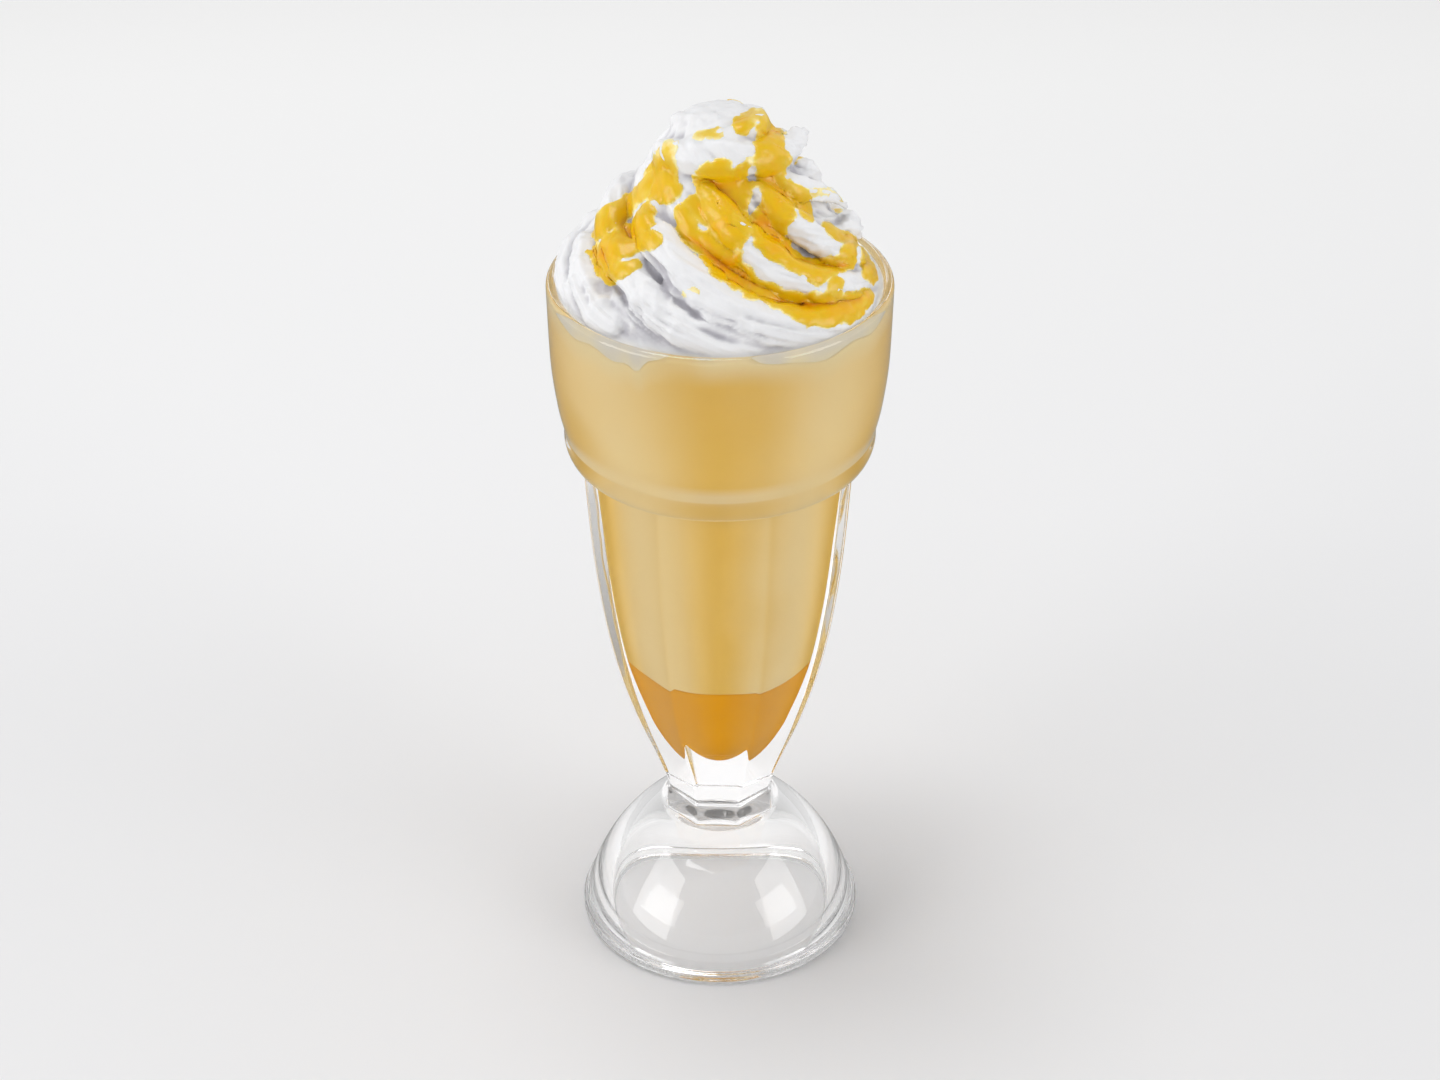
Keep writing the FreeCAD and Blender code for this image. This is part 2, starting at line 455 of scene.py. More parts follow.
def uneven_tone_group() -> bpy.types.NodeTree:
    """A node group for anything whipped, stirred or poured: its colour drifts a little
    between two tones over the piece, and it puts out a low relief.

    Returns:
        The group, made once.
    """
    name = "uneven_tone"
    if name in bpy.data.node_groups:
        return bpy.data.node_groups[name]
    group = bpy.data.node_groups.new(name, "ShaderNodeTree")
    face = group.interface
    for label, kind, value in (
        ("Light", "NodeSocketColor", None),
        ("Dark", "NodeSocketColor", None),
        ("Scale", "NodeSocketFloat", 100.0),
        ("Place", "NodeSocketVector", None),
    ):
        socket = face.new_socket(label, in_out="INPUT", socket_type=kind)
        if value is not None:
            socket.default_value = value
    face.new_socket("Color", in_out="OUTPUT", socket_type="NodeSocketColor")
    face.new_socket("Height", in_out="OUTPUT", socket_type="NodeSocketFloat")
    entry = group.nodes.new("NodeGroupInput")
    exit_node = group.nodes.new("NodeGroupOutput")
    cloud = group.nodes.new("ShaderNodeTexNoise")
    cloud.inputs["Detail"].default_value = 4.0
    mix = add_colour_mix(group)
    links = group.links
    links.new(entry.outputs["Place"], cloud.inputs["Vector"])
    links.new(entry.outputs["Scale"], cloud.inputs["Scale"])
    links.new(cloud.outputs["Fac"], mix.inputs["Factor"])
    links.new(entry.outputs["Light"], mix.inputs["A"])
    links.new(entry.outputs["Dark"], mix.inputs["B"])
    links.new(mix.outputs["Result"], exit_node.inputs["Color"])
    links.new(cloud.outputs["Fac"], exit_node.inputs["Height"])
    return group


def add_uneven_tone(shader: Shader, light: Tone, dark: Tone, scale: float) -> bpy.types.Node:
    """Places the uneven tone group in a material with its own values."""
    node = shader.node("ShaderNodeGroup")
    node.node_tree = uneven_tone_group()
    node.inputs["Light"].default_value = (*light, 1.0)
    node.inputs["Dark"].default_value = (*dark, 1.0)
    node.inputs["Scale"].default_value = scale
    shader.join(shader.place(), node.inputs["Place"])
    return node


@dataclass(frozen=True)
class ClearGlass:
    """Pressed soda glass, with the faint waviness that pressing leaves."""

    ior: float = 1.5
    ripple_scale: float = 55.0
    ripple_height: float = 0.00006

    def build(self) -> bpy.types.Material:
        """Makes the material."""
        shader = Shader("clear_glass")
        shader.set(
            Base_Color=(1.0, 1.0, 1.0, 1.0),
            Roughness=0.0,
            IOR=self.ior,
            Transmission_Weight=1.0,
        )
        ripple = shader.node("ShaderNodeTexNoise", Scale=self.ripple_scale, Detail=1.0)
        shader.join(shader.place(), ripple.inputs["Vector"])
        shader.bump(ripple.outputs["Fac"], self.ripple_height)
        return shader.material


@dataclass(frozen=True)
class ThickDrink:
    """An opaque, creamy drink or foam whose colour drifts a little, lit softly from within.

    Where pale, hollow or soaked is given, the piece stores how far that colour goes. The
    pale tone is a painted light and the hollow tone a painted shade; the rings paint a
    highlight band and a shade band.
    """

    name: str
    light: Tone
    dark: Tone
    scatter: Tone
    scatter_depth: float = 0.003
    scatter_weight: float = 0.35
    scale: float = 60.0
    roughness: float = 0.5
    relief: float = 0.0
    # The ring fields paint a highlight band and a shade band onto the drink at given heights.
    painted_highlight_tone: Tone = ()
    painted_shade_share: float = 0.86
    ring_margin: float = 3.0
    rings: Rows = ()
    # painted light: the pale tone is a paler sheen laid on by a stored share
    pale: Tone = ()
    soaked: Tone = ()
    # painted shade: the hollow tone darkens creases and undersides by a stored share
    hollow: Tone = ()
    specular: float = 0.25

    def build(self) -> bpy.types.Material:
        """Makes the material."""
        shader = Shader(self.name)
        tone = add_uneven_tone(shader, self.light, self.dark, self.scale)
        colour = tone.outputs["Color"]
        if self.rings:
            colour = self.add_painted_rings(shader, colour)
        stored = (("pale", self.pale), ("hollow", self.hollow), ("soak", self.soaked))
        for attribute, target in stored:
            if target:
                colour = shader.blend(shader.attribute(attribute), colour, target)
        shader.join(colour, shader.surface.inputs["Base Color"])
        shader.set(
            Roughness=self.roughness,
            Subsurface_Weight=self.scatter_weight,
            Subsurface_Radius=self.scatter,
            Subsurface_Scale=self.scatter_depth,
            Specular_IOR_Level=self.specular,
        )
        if self.relief:
            shader.bump(tone.outputs["Height"], self.relief)
        return shader.material

    def add_painted_rings(self, shader: Shader, colour: bpy.types.NodeSocket) -> bpy.types.NodeSocket:
        """Paints light and shade onto the drink at some heights: a painted highlight band and a
        painted shade band, which stand in for the glass collar's highlight and the shade under it.

        Each ring is a height in millimetres and a share: of the painted highlight tone where it is
        above zero, of a darker painted shade tone where it is below.

        Args:
            shader: the material being made.
            colour: the colour so far.

        Returns:
            The new colour.
        """
        split = shader.node("ShaderNodeSeparateXYZ")
        shader.join(shader.place(), split.inputs["Vector"])
        low = self.rings[0][0] - self.ring_margin
        high = self.rings[-1][0] + self.ring_margin
        spread = shader.node("ShaderNodeMapRange", From_Min=low * MM, From_Max=high * MM)
        shader.join(split.outputs["Z"], spread.inputs["Value"])
        # painted shade tone for the band under the collar
        deeper = tuple(self.painted_shade_share * part for part in self.dark)
        for sign, target in ((1.0, self.painted_highlight_tone), (-1.0, deeper)):
            stops = [
                ((height - low) / (high - low), *[max(0.0, sign * share)] * 3)
                for height, share in self.rings
            ]
            stops = ((0.0, 0.0, 0.0, 0.0), *stops, (1.0, 0.0, 0.0, 0.0))
            factor = shader.ramp(spread.outputs["Result"], stops)
            colour = shader.blend(factor, colour, target)
        return colour


@dataclass(frozen=True)
class MangoGlaze:
    """Glossy mango sauce: pale yellow where it is a thin film over cream, golden where it
    lies thicker and amber where it pools. It reads its depth from the piece."""

    attribute: str = "depth"
    stops: Rows = (
        (0.0, 0.92, 0.78, 0.40),
        (0.12, 0.76, 0.51, 0.05),
        (0.3, 0.70, 0.43, 0.004),
        (0.5, 0.72, 0.42, 0.0),
        (0.75, 0.74, 0.33, 0.0),
        (1.0, 0.66, 0.22, 0.0),
    )
    roughness: float = 0.32
    specular: float = 0.35
    coat: float = 0.12
    coat_roughness: float = 0.06
    scatter: Tone = (1.0, 0.45, 0.05)
    scatter_weight: float = 0.25
    scatter_depth: float = 0.003
    mottle_scale: float = 230.0
    mottle: float = 0.34

    def build(self) -> bpy.types.Material:
        """Makes the material."""
        shader = Shader("mango_glaze")
        cloud = shader.node("ShaderNodeTexNoise", Scale=self.mottle_scale, Detail=3.0)
        shader.join(shader.place(), cloud.inputs["Vector"])
        drift = shader.node("ShaderNodeMapRange", To_Min=-self.mottle / 2, To_Max=self.mottle / 2)
        shader.join(cloud.outputs["Fac"], drift.inputs["Value"])
        total = shader.node("ShaderNodeMath")
        shader.join(shader.attribute(self.attribute), total.inputs[0])
        shader.join(drift.outputs["Result"], total.inputs[1])
        colour = shader.ramp(total.outputs["Value"], self.stops)
        shader.join(colour, shader.surface.inputs["Base Color"])
        shader.set(
            Roughness=self.roughness,
            Coat_Weight=self.coat,
            Coat_Roughness=self.coat_roughness,
            Specular_IOR_Level=self.specular,
            Subsurface_Weight=self.scatter_weight,
            Subsurface_Radius=self.scatter,
            Subsurface_Scale=self.scatter_depth,
        )
        return shader.material


# ---------------------------------------------------------------- the glass


@dataclass
class SodaGlass:
    """The footed soda glass, with eight flat panels under a round band.

    Sizes are in millimetres. Rows give a depth below the lip or a height, an outer radius,
    which is at the ridges where there are panels, and the wall behind it.
    """

    lip_height: float
    bore_floor: float
    panels: int = 8
    ridge_round: float = 1.8
    lip_radius: float = 41.8
    lip_wall: float = 2.6
    band: Rows = ((40.0, 38.3, 12.3), (32.0, 40.0, 10.5), (20.0, 41.3, 6.7))
    collar_depth: float = 6.5
    collar_radius: float = 36.7
    collar_bulge: float = 0.8
    body: Rows = ((66.0, 22.6, 10.0), (82.0, 27.4, 9.0), (99.0, 30.9, 9.4), (120.0, 33.6, 9.7))
    body_top: Spot = (35.4, 8.7)
    stem: Rows = ((42.0, 13.9), (51.0, 16.9))
    ring_bottom: float = 35.0
    ring_radius: float = 14.6
    ring_bevel: float = 0.7
    foot_radius: float = 37.0
    foot_lower_round: float = 1.7
    foot_upper_round: float = 0.9
    foot_edge: float = 3.6
    foot_top_radius: float = 15.5
    foot_bulge: float = 3.1
    hollow_radius: float = 29.5
    hollow_height: float = 28.0
    hollow_bulge: float = 8.6
    edge_spread: float = 1.4
    sample: float = 0.2
    rings: int = 320
    half_panel_steps: int = 16
    ridge_crowding: float = 1.8
    turn: float = 2.5
    floor_leave: float = 1.25
    floor_arrive: float = 1.1
    bend_crowding: float = 60.0

    @property
    def half_panel(self) -> float:
        """Half the angle of one panel."""
        return math.pi / self.panels

    @property
    def front(self) -> float:
        """The angle that the middle of the front panel faces."""
        return math.radians(-90.0 - self.turn)

    @property
    def collar_underside(self) -> float:
        """The height where the panels end under the collar."""
        return self.lip_height - self.band[0][0] - self.collar_depth

    def angles(self) -> Array:
        """Angles round the axis, crowded towards the ridges, from the left ridge of the
        front panel."""
        steps = np.arange(self.half_panel_steps + 1) / self.half_panel_steps
        from_ridge = self.half_panel * steps**self.ridge_crowding
        left = from_ridge - self.half_panel
        right = self.half_panel - from_ridge[-2:0:-1]
        one_panel = np.concatenate([left, right])
        centres = self.front + 2 * self.half_panel * np.arange(self.panels)
        return (centres[:, None] + one_panel).ravel()

    def panelled(self, ridge_radius: Array, angles: Array) -> Array:
        """Radii of regular outlines with flat sides and rounded ridges.

        A side at distance a from the axis lies at radius a / cos(angle from its middle).
        Within a ridge's rounding, of radius q about a centre at distance d, the radius is
        d cos t + sqrt(q q - d d sin t sin t), where t is the angle from the ridge.

        Args:
            ridge_radius: one radius for each ring.
            angles: one angle for each point of a ring.

        Returns:
            Rings by points.
        """
        around = (angles - self.front) % (2 * self.half_panel)
        from_ridge = np.abs(around - self.half_panel)[None, :]
        centre = ridge_radius[:, None] - self.ridge_round
        apothem = centre * math.cos(self.half_panel) + self.ridge_round
        flat = apothem / np.cos(self.half_panel - from_ridge)
        reach = self.ridge_round**2 - (centre * np.sin(from_ridge)) ** 2
        rounded = centre * np.cos(from_ridge) + np.sqrt(np.maximum(reach, 0.0))
        side = self.ridge_round * math.sin(self.half_panel)
        limit = np.arctan2(side, centre + self.ridge_round * math.cos(self.half_panel))
        return np.where(from_ridge < limit, rounded, flat)

    def bore_line(self) -> Array:
        """The inside wall as radii and heights, from the floor's middle up to the lip.

        The floor is a cubic from its middle, where it is level, to the wall, where it has
        the wall's own slope.
        """
        apothem_share = math.cos(self.half_panel)
        low = [(height, ridge * apothem_share - wall) for height, ridge, wall in self.body]
        top_ridge, top_wall = self.body_top
        low.append((self.collar_underside, top_ridge * apothem_share - top_wall))
        high = [(self.lip_height - depth, radius - wall) for depth, radius, wall in self.band]
        lip = (self.lip_height - self.lip_wall / 2, self.lip_radius - self.lip_wall)
        knots = (*low, *high, lip)
        height = np.linspace(knots[0][0], knots[-1][0], 300)
        wall_line = np.stack([smooth_curve(height, knots), height], axis=1)
        step = wall_line[1] - wall_line[0]
        reach = wall_line[0][0]
        t = np.linspace(0, 1, 40)[:-1, None]
        start, end = np.array([0.0, self.bore_floor]), wall_line[0]
        leave = np.array([self.floor_leave * reach, 0.0])
        arrive = step / np.hypot(*step) * reach * self.floor_arrive
        floor = (
            (2 * t**3 - 3 * t**2 + 1) * start
            + (t**3 - 2 * t**2 + t) * leave
            + (3 * t**2 - 2 * t**3) * end
            + (t**3 - t**2) * arrive
        )
        return np.concatenate([floor, wall_line])

    def bore_radius(self, height: Array) -> Array:
        """The inside wall's radius at a height."""
        line = self.bore_line()
        return np.interp(height, line[:, 1], line[:, 0])

    def outline(self) -> Array:
        """The whole outline, from the top of the hollow round the outside, over the lip and
        down to the middle of the floor: radius, height and how panelled it is, from 0 to 1."""
        underside = self.collar_underside
        foot_low = self.foot_radius - self.foot_lower_round
        foot_high = self.foot_radius - self.foot_upper_round
        foot_side = self.foot_edge - self.foot_upper_round
        dome_end = (self.foot_top_radius, self.ring_bottom)
        hollow_edge = (self.hollow_radius, 0.0)
        ring_top = self.stem[0][0]
        body_knots = ((row[0], row[1]) for row in self.body)
        knots = (*self.stem, *body_knots, (underside, self.body_top[0]))
        body_heights = np.linspace(ring_top, underside, 240)
        body = np.stack([smooth_curve(body_heights, knots), body_heights], axis=1)
        lip = self.lip_wall / 2
        band_knots = (
            *((self.lip_height - row[0], row[1]) for row in self.band),
            (self.lip_height - lip, self.lip_radius),
        )
        band_heights = np.linspace(band_knots[0][0], band_knots[-1][0], 120)
        band = np.stack([smooth_curve(band_heights, band_knots), band_heights], axis=1)
        quarter = 1 - math.sqrt(0.5)
        lower, upper = quarter * self.foot_lower_round, quarter * self.foot_upper_round
        foot_top, low_side = (foot_high, self.foot_edge), (self.foot_radius, self.foot_lower_round)
        ring_low = (self.ring_radius, self.ring_bottom)
        ring_high = (self.ring_radius, ring_top - self.ring_bevel)
        lip_inside = (self.lip_radius - self.lip_wall, self.lip_height - lip)
        collar = (self.collar_radius, underside)
        parts = (
            (bulged_arc((0.0, self.hollow_height), hollow_edge, -self.hollow_bulge, 80), 0),
            (straight(hollow_edge, (foot_low, 0.0), 20), 0),
            (bulged_arc((foot_low, 0.0), low_side, lower, 12), 0),
            (bulged_arc((self.foot_radius, foot_side), foot_top, upper, 8), 0),
            (bulged_arc(foot_top, dome_end, self.foot_bulge, 120), 0),
            (straight(ring_low, ring_high, 20), 1),
            (body, 1),
            (bulged_arc(collar, tuple(band[0]), self.collar_bulge, 20), 0),
            (band, 0),
            (bulged_arc(tuple(band[-1]), lip_inside, lip, 24), 0),
            (self.bore_line()[::-1], 0),
        )
        rows = [np.column_stack([points, np.full(len(points), share)]) for points, share in parts]
        return np.concatenate(rows)

    def rows(self) -> Array:
        """The outline with fire-polished edges, in rings that crowd where it bends."""
        sharp = self.outline()
        length = np.concatenate([[0], np.cumsum(np.hypot(*np.diff(sharp[:, :2], axis=0).T))])
        keep = np.concatenate([[True], np.diff(length) > 1e-6])
        sharp, length = sharp[keep], length[keep]
        even = np.arange(0, length[-1], self.sample)
        line = np.stack([np.interp(even, length, sharp[:, i]) for i in range(3)], axis=1)
        line = blurred(line, self.edge_spread)
        way = np.gradient(line[:, :2], axis=0)
        turn = np.abs(np.gradient(np.unwrap(np.arctan2(way[:, 1], way[:, 0]))))
        share = np.abs(np.gradient(line[:, 2]))
        bends = blurred((turn + share)[:, None], 2.0)[:, 0]
        crowd = np.cumsum(1.0 + self.bend_crowding * bends)
        wanted = np.linspace(crowd[0], crowd[-1], self.rings)
        return np.stack([np.interp(wanted, crowd, line[:, i]) for i in range(3)], axis=1)

    def build(self) -> bpy.types.Object:
        """Makes the glass as one closed surface."""
        angles, rows = self.angles(), self.rows()
        radius, height, share = rows[1:-1].T
        panelled = self.panelled(np.maximum(radius, self.ridge_round + 1), angles)
        mixed = share[:, None] * panelled + (1 - share[:, None]) * radius[:, None]
        grid = around(mixed, angles, height[:, None])
        piece = wrapped("soda_glass", grid, on_axis(rows[0, 1]), on_axis(rows[-1, 1]))
        dress(piece, ClearGlass().build(), Slot.GLASS, "glass")
        return piece


# ---------------------------------------------------------------- the drink


@dataclass
class Drink:
    """The mango sauce at the bottom and the shake above it. Both reach a little into the
    glass's wall, so that no air shows between them. Sizes are in millimetres."""

    glass: SodaGlass
    sauce_level: float
    seat: float = 0.15
    points: int = 192
    sauce_rings: int = 60
    shake_rings: int = 130
    border_wave: float = 0.5
    border_overlap: float = 0.3
    below_lip: float = 1.9
    froth_depth: float = 7.0
    froth_most: float = 0.9
    # These set a painted light: paler bands on the drink that stand in for side light and glass
    # reflections.
    painted_light_tone: Tone = (1.0, 0.80, 0.42)
    painted_light_power: float = 1.7
    painted_light_most: float = 0.88
    sauce_painted_light: float = 0.15
    shake_drop: Rows = (
        (-57.0, 9.0, 3.4), (-38.0, 8.0, 4.0), (-29.0, 3.0, 3.2), (38.0, 15.0, 3.0),
        (62.0, 9.0, 2.4),
    )

    def angles(self) -> Array:
        """Angles round the axis."""
        return np.linspace(0, FULL_TURN, self.points, endpoint=False)

    def from_front(self) -> Array:
        """The same angles in degrees from the front, rising to the right."""
        return np.degrees(self.angles()) + 90.0

    def border(self) -> Array:
        """The height of the border between sauce and shake: level, with a slow wave."""
        turn = self.angles()
        wave = 0.6 * np.sin(2 * turn + 0.7) + 0.4 * np.sin(5 * turn + 2.1)
        return self.sauce_level + self.border_wave * wave

    def shake_top(self) -> Array:
        """The height of the shake at the wall: just under the lip, and lower where cream has
        slid down between them."""
        top = np.full(self.points, self.glass.lip_height - self.below_lip)
        for centre, width, depth in self.shake_drop:
            top -= depth * bump_at(self.from_front(), centre, width)
        ripple = 0.35 * np.sin(7 * self.angles()) + 0.25 * np.sin(17 * self.angles() + 1.3)
        return top + ripple

    def painted_light_share(self, points: Array) -> Array:
        """How much painted light the drink takes, from 0 to 1: four deep bands face the front, the
        back and the sides, and pale ones lie between them, a painted sheen that stands in for
        the paler look that side light and the glass's reflections give the drink near its edges.
        It is a power of the size of the sine of twice the angle round the axis, with some noise."""
        cloudy = 0.12 * noise(points, 12.0, 109)
        wave = np.abs(np.sin(2 * direction(points) + cloudy)) ** self.painted_light_power
        return np.clip(self.painted_light_most * wave + cloudy * 0.5, 0, 1)

    def edge_height(self, points: Array) -> Array:
        """The height of the shake's edge at the wall, in the direction of each point."""
        return self.edge_at(direction(points))

    def edge_at(self, turn: Array) -> Array:
        """The height of the shake's edge at the wall, at each angle."""
        return np.interp(turn, self.angles(), self.shake_top(), period=FULL_TURN)

    def solid(self, name: str, low: Array, high: Array, rings: int) -> bpy.types.Object:
        """A solid that fills the bore between two edges.

        Args:
            name: the piece's name.
            low: the height of its lower edge at each angle.
            high: the height of its upper edge at each angle.
            rings: how many rings the wall has.

        Returns:
            The object.
        """
        share = np.linspace(0, 1, rings)[:, None]
        height = low + (high - low) * share
        radius = self.glass.bore_radius(height) + self.seat
        grid = around(radius, self.angles(), height)
        middle_low, middle_high = on_axis(low.mean()), on_axis(high.mean())
        inward = np.linspace(0.1, 0.9, 6)[:, None, None]
        under = middle_low + (grid[0] - middle_low) * inward
        over = middle_high + (grid[-1] - middle_high) * inward[::-1]
        return wrapped(name, np.concatenate([under, grid, over]), middle_low, middle_high)

    def build_sauce(self) -> bpy.types.Object:
        """Makes the layer of mango sauce, from the bore's floor up to the border."""
        line = self.glass.bore_line()
        keep = line[:, 1] < self.sauce_level
        length = np.concatenate([[0], np.cumsum(np.hypot(*np.diff(line[keep], axis=0).T))])
        even = np.linspace(0, length[-1], self.sauce_rings)[1:]
        radius = np.interp(even, length, line[keep][:, 0]) + self.seat
        height = np.interp(even, length, line[keep][:, 1]) - self.seat
        share = (height - height[0]) / (height[-1] - height[0])
        lift = self.border() + self.border_overlap - height[-1]
        level = height[:, None] + share[:, None] * lift
        shift = self.glass.bore_radius(level) - self.glass.bore_radius(height)[:, None]
        grid = around(radius[:, None] + shift, self.angles(), level)
        floor = on_axis(self.glass.bore_floor - self.seat)
        piece = wrapped("mango_sauce_layer", grid, floor, on_axis(self.sauce_level))
        finish = ThickDrink(
            "mango_sauce",
            light=(0.90, 0.41, 0.0),
            dark=(0.86, 0.355, 0.0),
            pale=self.painted_light_tone,
            specular=0.0,
            scatter=(1.0, 0.5, 0.05),
            scatter_weight=0.0,
            roughness=0.3,
        )
        # painted light, faint on the sauce layer
        painted_light_share = self.sauce_painted_light * self.painted_light_share(read_points(piece))
        write_attribute(piece, "pale", painted_light_share)
        dress(piece, finish.build(), Slot.SAUCE, "mango_sauce")
        return piece

    def build_shake(self) -> bpy.types.Object:
        """Makes the shake, from the border up to its edge under the cream."""
        piece = self.solid("mango_shake", self.border(), self.shake_top(), self.shake_rings)
        finish = ThickDrink(
            "milkshake",
            light=(0.90, 0.585, 0.13),
            dark=(0.865, 0.55, 0.11),
            scatter=(1.0, 0.7, 0.3),
            # painted highlight tone for the band at the glass's collar
            painted_highlight_tone=(1.0, 0.93, 0.70),
            pale=self.painted_light_tone,
            soaked=(0.96, 0.82, 0.50),
            scatter_weight=0.0,
            specular=0.0,
            # painted shade band just under the collar (negative shares), painted highlight band on
            # it (positive shares)
            rings=((138.5, -0.35), (142.5, -0.35), (144.5, 0.5), (148.0, 0.5), (151.0, 0.0)),
        )
        points = read_points(piece)
        below = self.edge_height(points) - points[:, 2]
        uneven = 0.75 + 0.35 * noise(points, 9.0, 83)
        soak = np.clip(1 - below / self.froth_depth, 0, 1) * uneven
        write_attribute(piece, "soak", np.clip(soak, 0, self.froth_most))
        # painted light: paler bands on the shake
        write_attribute(piece, "pale", self.painted_light_share(points))
        dress(piece, finish.build(), Slot.SHAKE, "milkshake")
        return piece


# ---------------------------------------------------------------- the cream


@dataclass(frozen=True)
class Fold:
    """One fold of cream that lies over the heap.

    Each row gives a place on its middle line, as degrees round from the front and height,
    how far that stands out of the heap, half the fold's width and half its thickness.
    """

    name: str
    rows: Rows
    ribs: int = 3


FOLDS = (
    Fold("front_ribbon", (
        (-58, 214, 0.0, 1.6, 1.2), (-44, 211.5, 0.6, 3.4, 2.6), (-30, 209, 1.0, 4.6, 3.2),
        (-14, 204.5, 1.0, 5.0, 3.4), (2, 199, 1.0, 5.0, 3.4), (19, 195, 0.8, 4.6, 3.2),
        (41, 192, 0.4, 4.2, 3.0), (62, 190.5, 0.0, 3.6, 2.6), (84, 189.5, -0.5, 2.6, 1.8),
    )),
    Fold("upper_ribbon", (
        (-14, 222, 0.0, 2.0, 1.6), (0, 217, 0.6, 3.2, 2.4), (13, 212, 1.0, 4.0, 3.0),
        (23, 207, 1.0, 4.2, 3.2), (35, 202.5, 1.0, 4.2, 3.0), (50, 198.5, 0.6, 4.0, 2.8),
        (68, 195.5, 0.4, 3.6, 2.6), (92, 192.5, 0.0, 3.0, 2.0),
    )),
    Fold("lower_ribbon", (
        (-76, 207, 0.0, 2.0, 1.6), (-58, 205.5, 0.6, 3.6, 2.4), (-42, 202.5, 1.0, 4.4, 3.0),
        (-29, 198.5, 1.0, 4.6, 3.2), (-15, 195, 0.6, 4.4, 3.0), (2, 192, 0.2, 4.0, 2.6),
        (20, 190.5, -0.4, 3.0, 2.0),
    )),
    Fold("left_lump", (
        (-98, 200, 0.0, 2.4, 1.8), (-80, 199, 0.8, 4.0, 2.8), (-64, 196, 1.0, 4.6, 3.0),
        (-50, 192.5, 0.4, 4.4, 2.6), (-38, 190.5, -0.4, 3.2, 2.0),
    )),
    Fold("left_shoulder", (
        (-140, 198, 0.0, 2.6, 2.0), (-118, 195, 0.8, 4.2, 2.8), (-98, 192, 0.6, 4.4, 2.8),
        (-80, 190.5, 0.0, 3.6, 2.2), (-66, 189.5, -0.6, 2.6, 1.6),
    )),
    Fold("left_peak", (
        (-110, 214, 0.0, 2.0, 1.6), (-92, 212, 1.2, 3.6, 2.6), (-76, 208, 1.4, 4.2, 2.8),
        (-62, 204, 0.6, 3.4, 2.2), (-52, 200.5, 0.0, 2.2, 1.4),
    )),
    Fold("right_fold", (
        (26, 222, 0.0, 2.0, 1.6), (40, 215.5, 0.8, 3.4, 2.6), (52, 209.5, 1.2, 3.8, 2.8),
        (62, 204, 1.2, 3.6, 2.6), (74, 199.5, 0.8, 3.2, 2.2), (90, 197, 0.2, 2.6, 1.6),
    )),
    Fold("right_flap", (
        (50, 222, 0.0, 2.2, 1.4), (68, 217.5, 1.6, 3.0, 1.6), (84, 213.5, 3.0, 2.6, 1.2),
        (97, 208, 3.4, 1.8, 0.9), (103, 205, 3.6, 0.7, 0.5),
    )),
    Fold("crown", (
        (-100, 222, -0.6, 2.4, 1.8), (-72, 225, 0.4, 3.6, 2.6), (-36, 227, 1.2, 4.4, 3.2),
        (-4, 227.6, 1.4, 4.6, 3.4), (28, 227, 1.2, 4.4, 3.2), (60, 225.6, 1.0, 4.2, 3.0),
        (100, 223, 0.8, 4.0, 2.8), (150, 219, 0.6, 3.6, 2.6), (200, 215, 0.0, 2.6, 1.8),
    )),
    Fold("crown_flap", (
        (66, 225, 0.0, 3.0, 1.8), (86, 225.5, 3.0, 3.4, 1.4), (102, 225.5, 6.0, 2.6, 1.0),
        (112, 225, 8.0, 1.2, 0.6),
    ), 2),
    Fold("top_curl", (
        (-50, 228.5, 0.0, 2.2, 1.6), (-10, 229.6, 0.2, 2.6, 1.8), (40, 230.8, 0.6, 2.8, 2.2),
        (90, 231.4, 1.4, 2.4, 1.9), (140, 231.4, 1.0, 1.2, 1.0),
    ), 2),
    Fold("top_tip", (
        (-120, 228, 0.0, 2.0, 1.6), (-98, 230.4, 0.6, 2.0, 1.6), (-80, 231.8, 0.6, 1.6, 1.4),
        (-60, 232.8, 0.2, 0.9, 0.8),
    ), 2),
    Fold("back_ribbon", (
        (96, 216, 0.0, 1.8, 1.4), (114, 213, 0.8, 3.8, 2.8), (134, 208, 1.0, 4.6, 3.2),
        (156, 202, 1.0, 4.8, 3.2), (180, 197, 0.8, 4.4, 3.0), (206, 193, 0.2, 3.8, 2.6),
        (230, 190.5, -0.4, 2.8, 1.8),
    )),
    Fold("back_upper_ribbon", (
        (136, 224, 0.0, 1.8, 1.4), (158, 219.5, 0.8, 3.4, 2.6), (180, 214, 1.0, 4.0, 3.0),
        (202, 208, 1.0, 4.2, 3.0), (224, 203, 0.8, 4.0, 2.8), (246, 199.5, 0.2, 3.2, 2.2),
    )),
    Fold("right_shoulder", (
        (84, 204, 0.0, 1.8, 1.4), (100, 201, 0.8, 3.6, 2.6), (120, 197, 0.8, 4.2, 2.8),
        (142, 193, 0.4, 4.0, 2.6), (164, 190.5, -0.4, 3.0, 1.8),
    )),
)


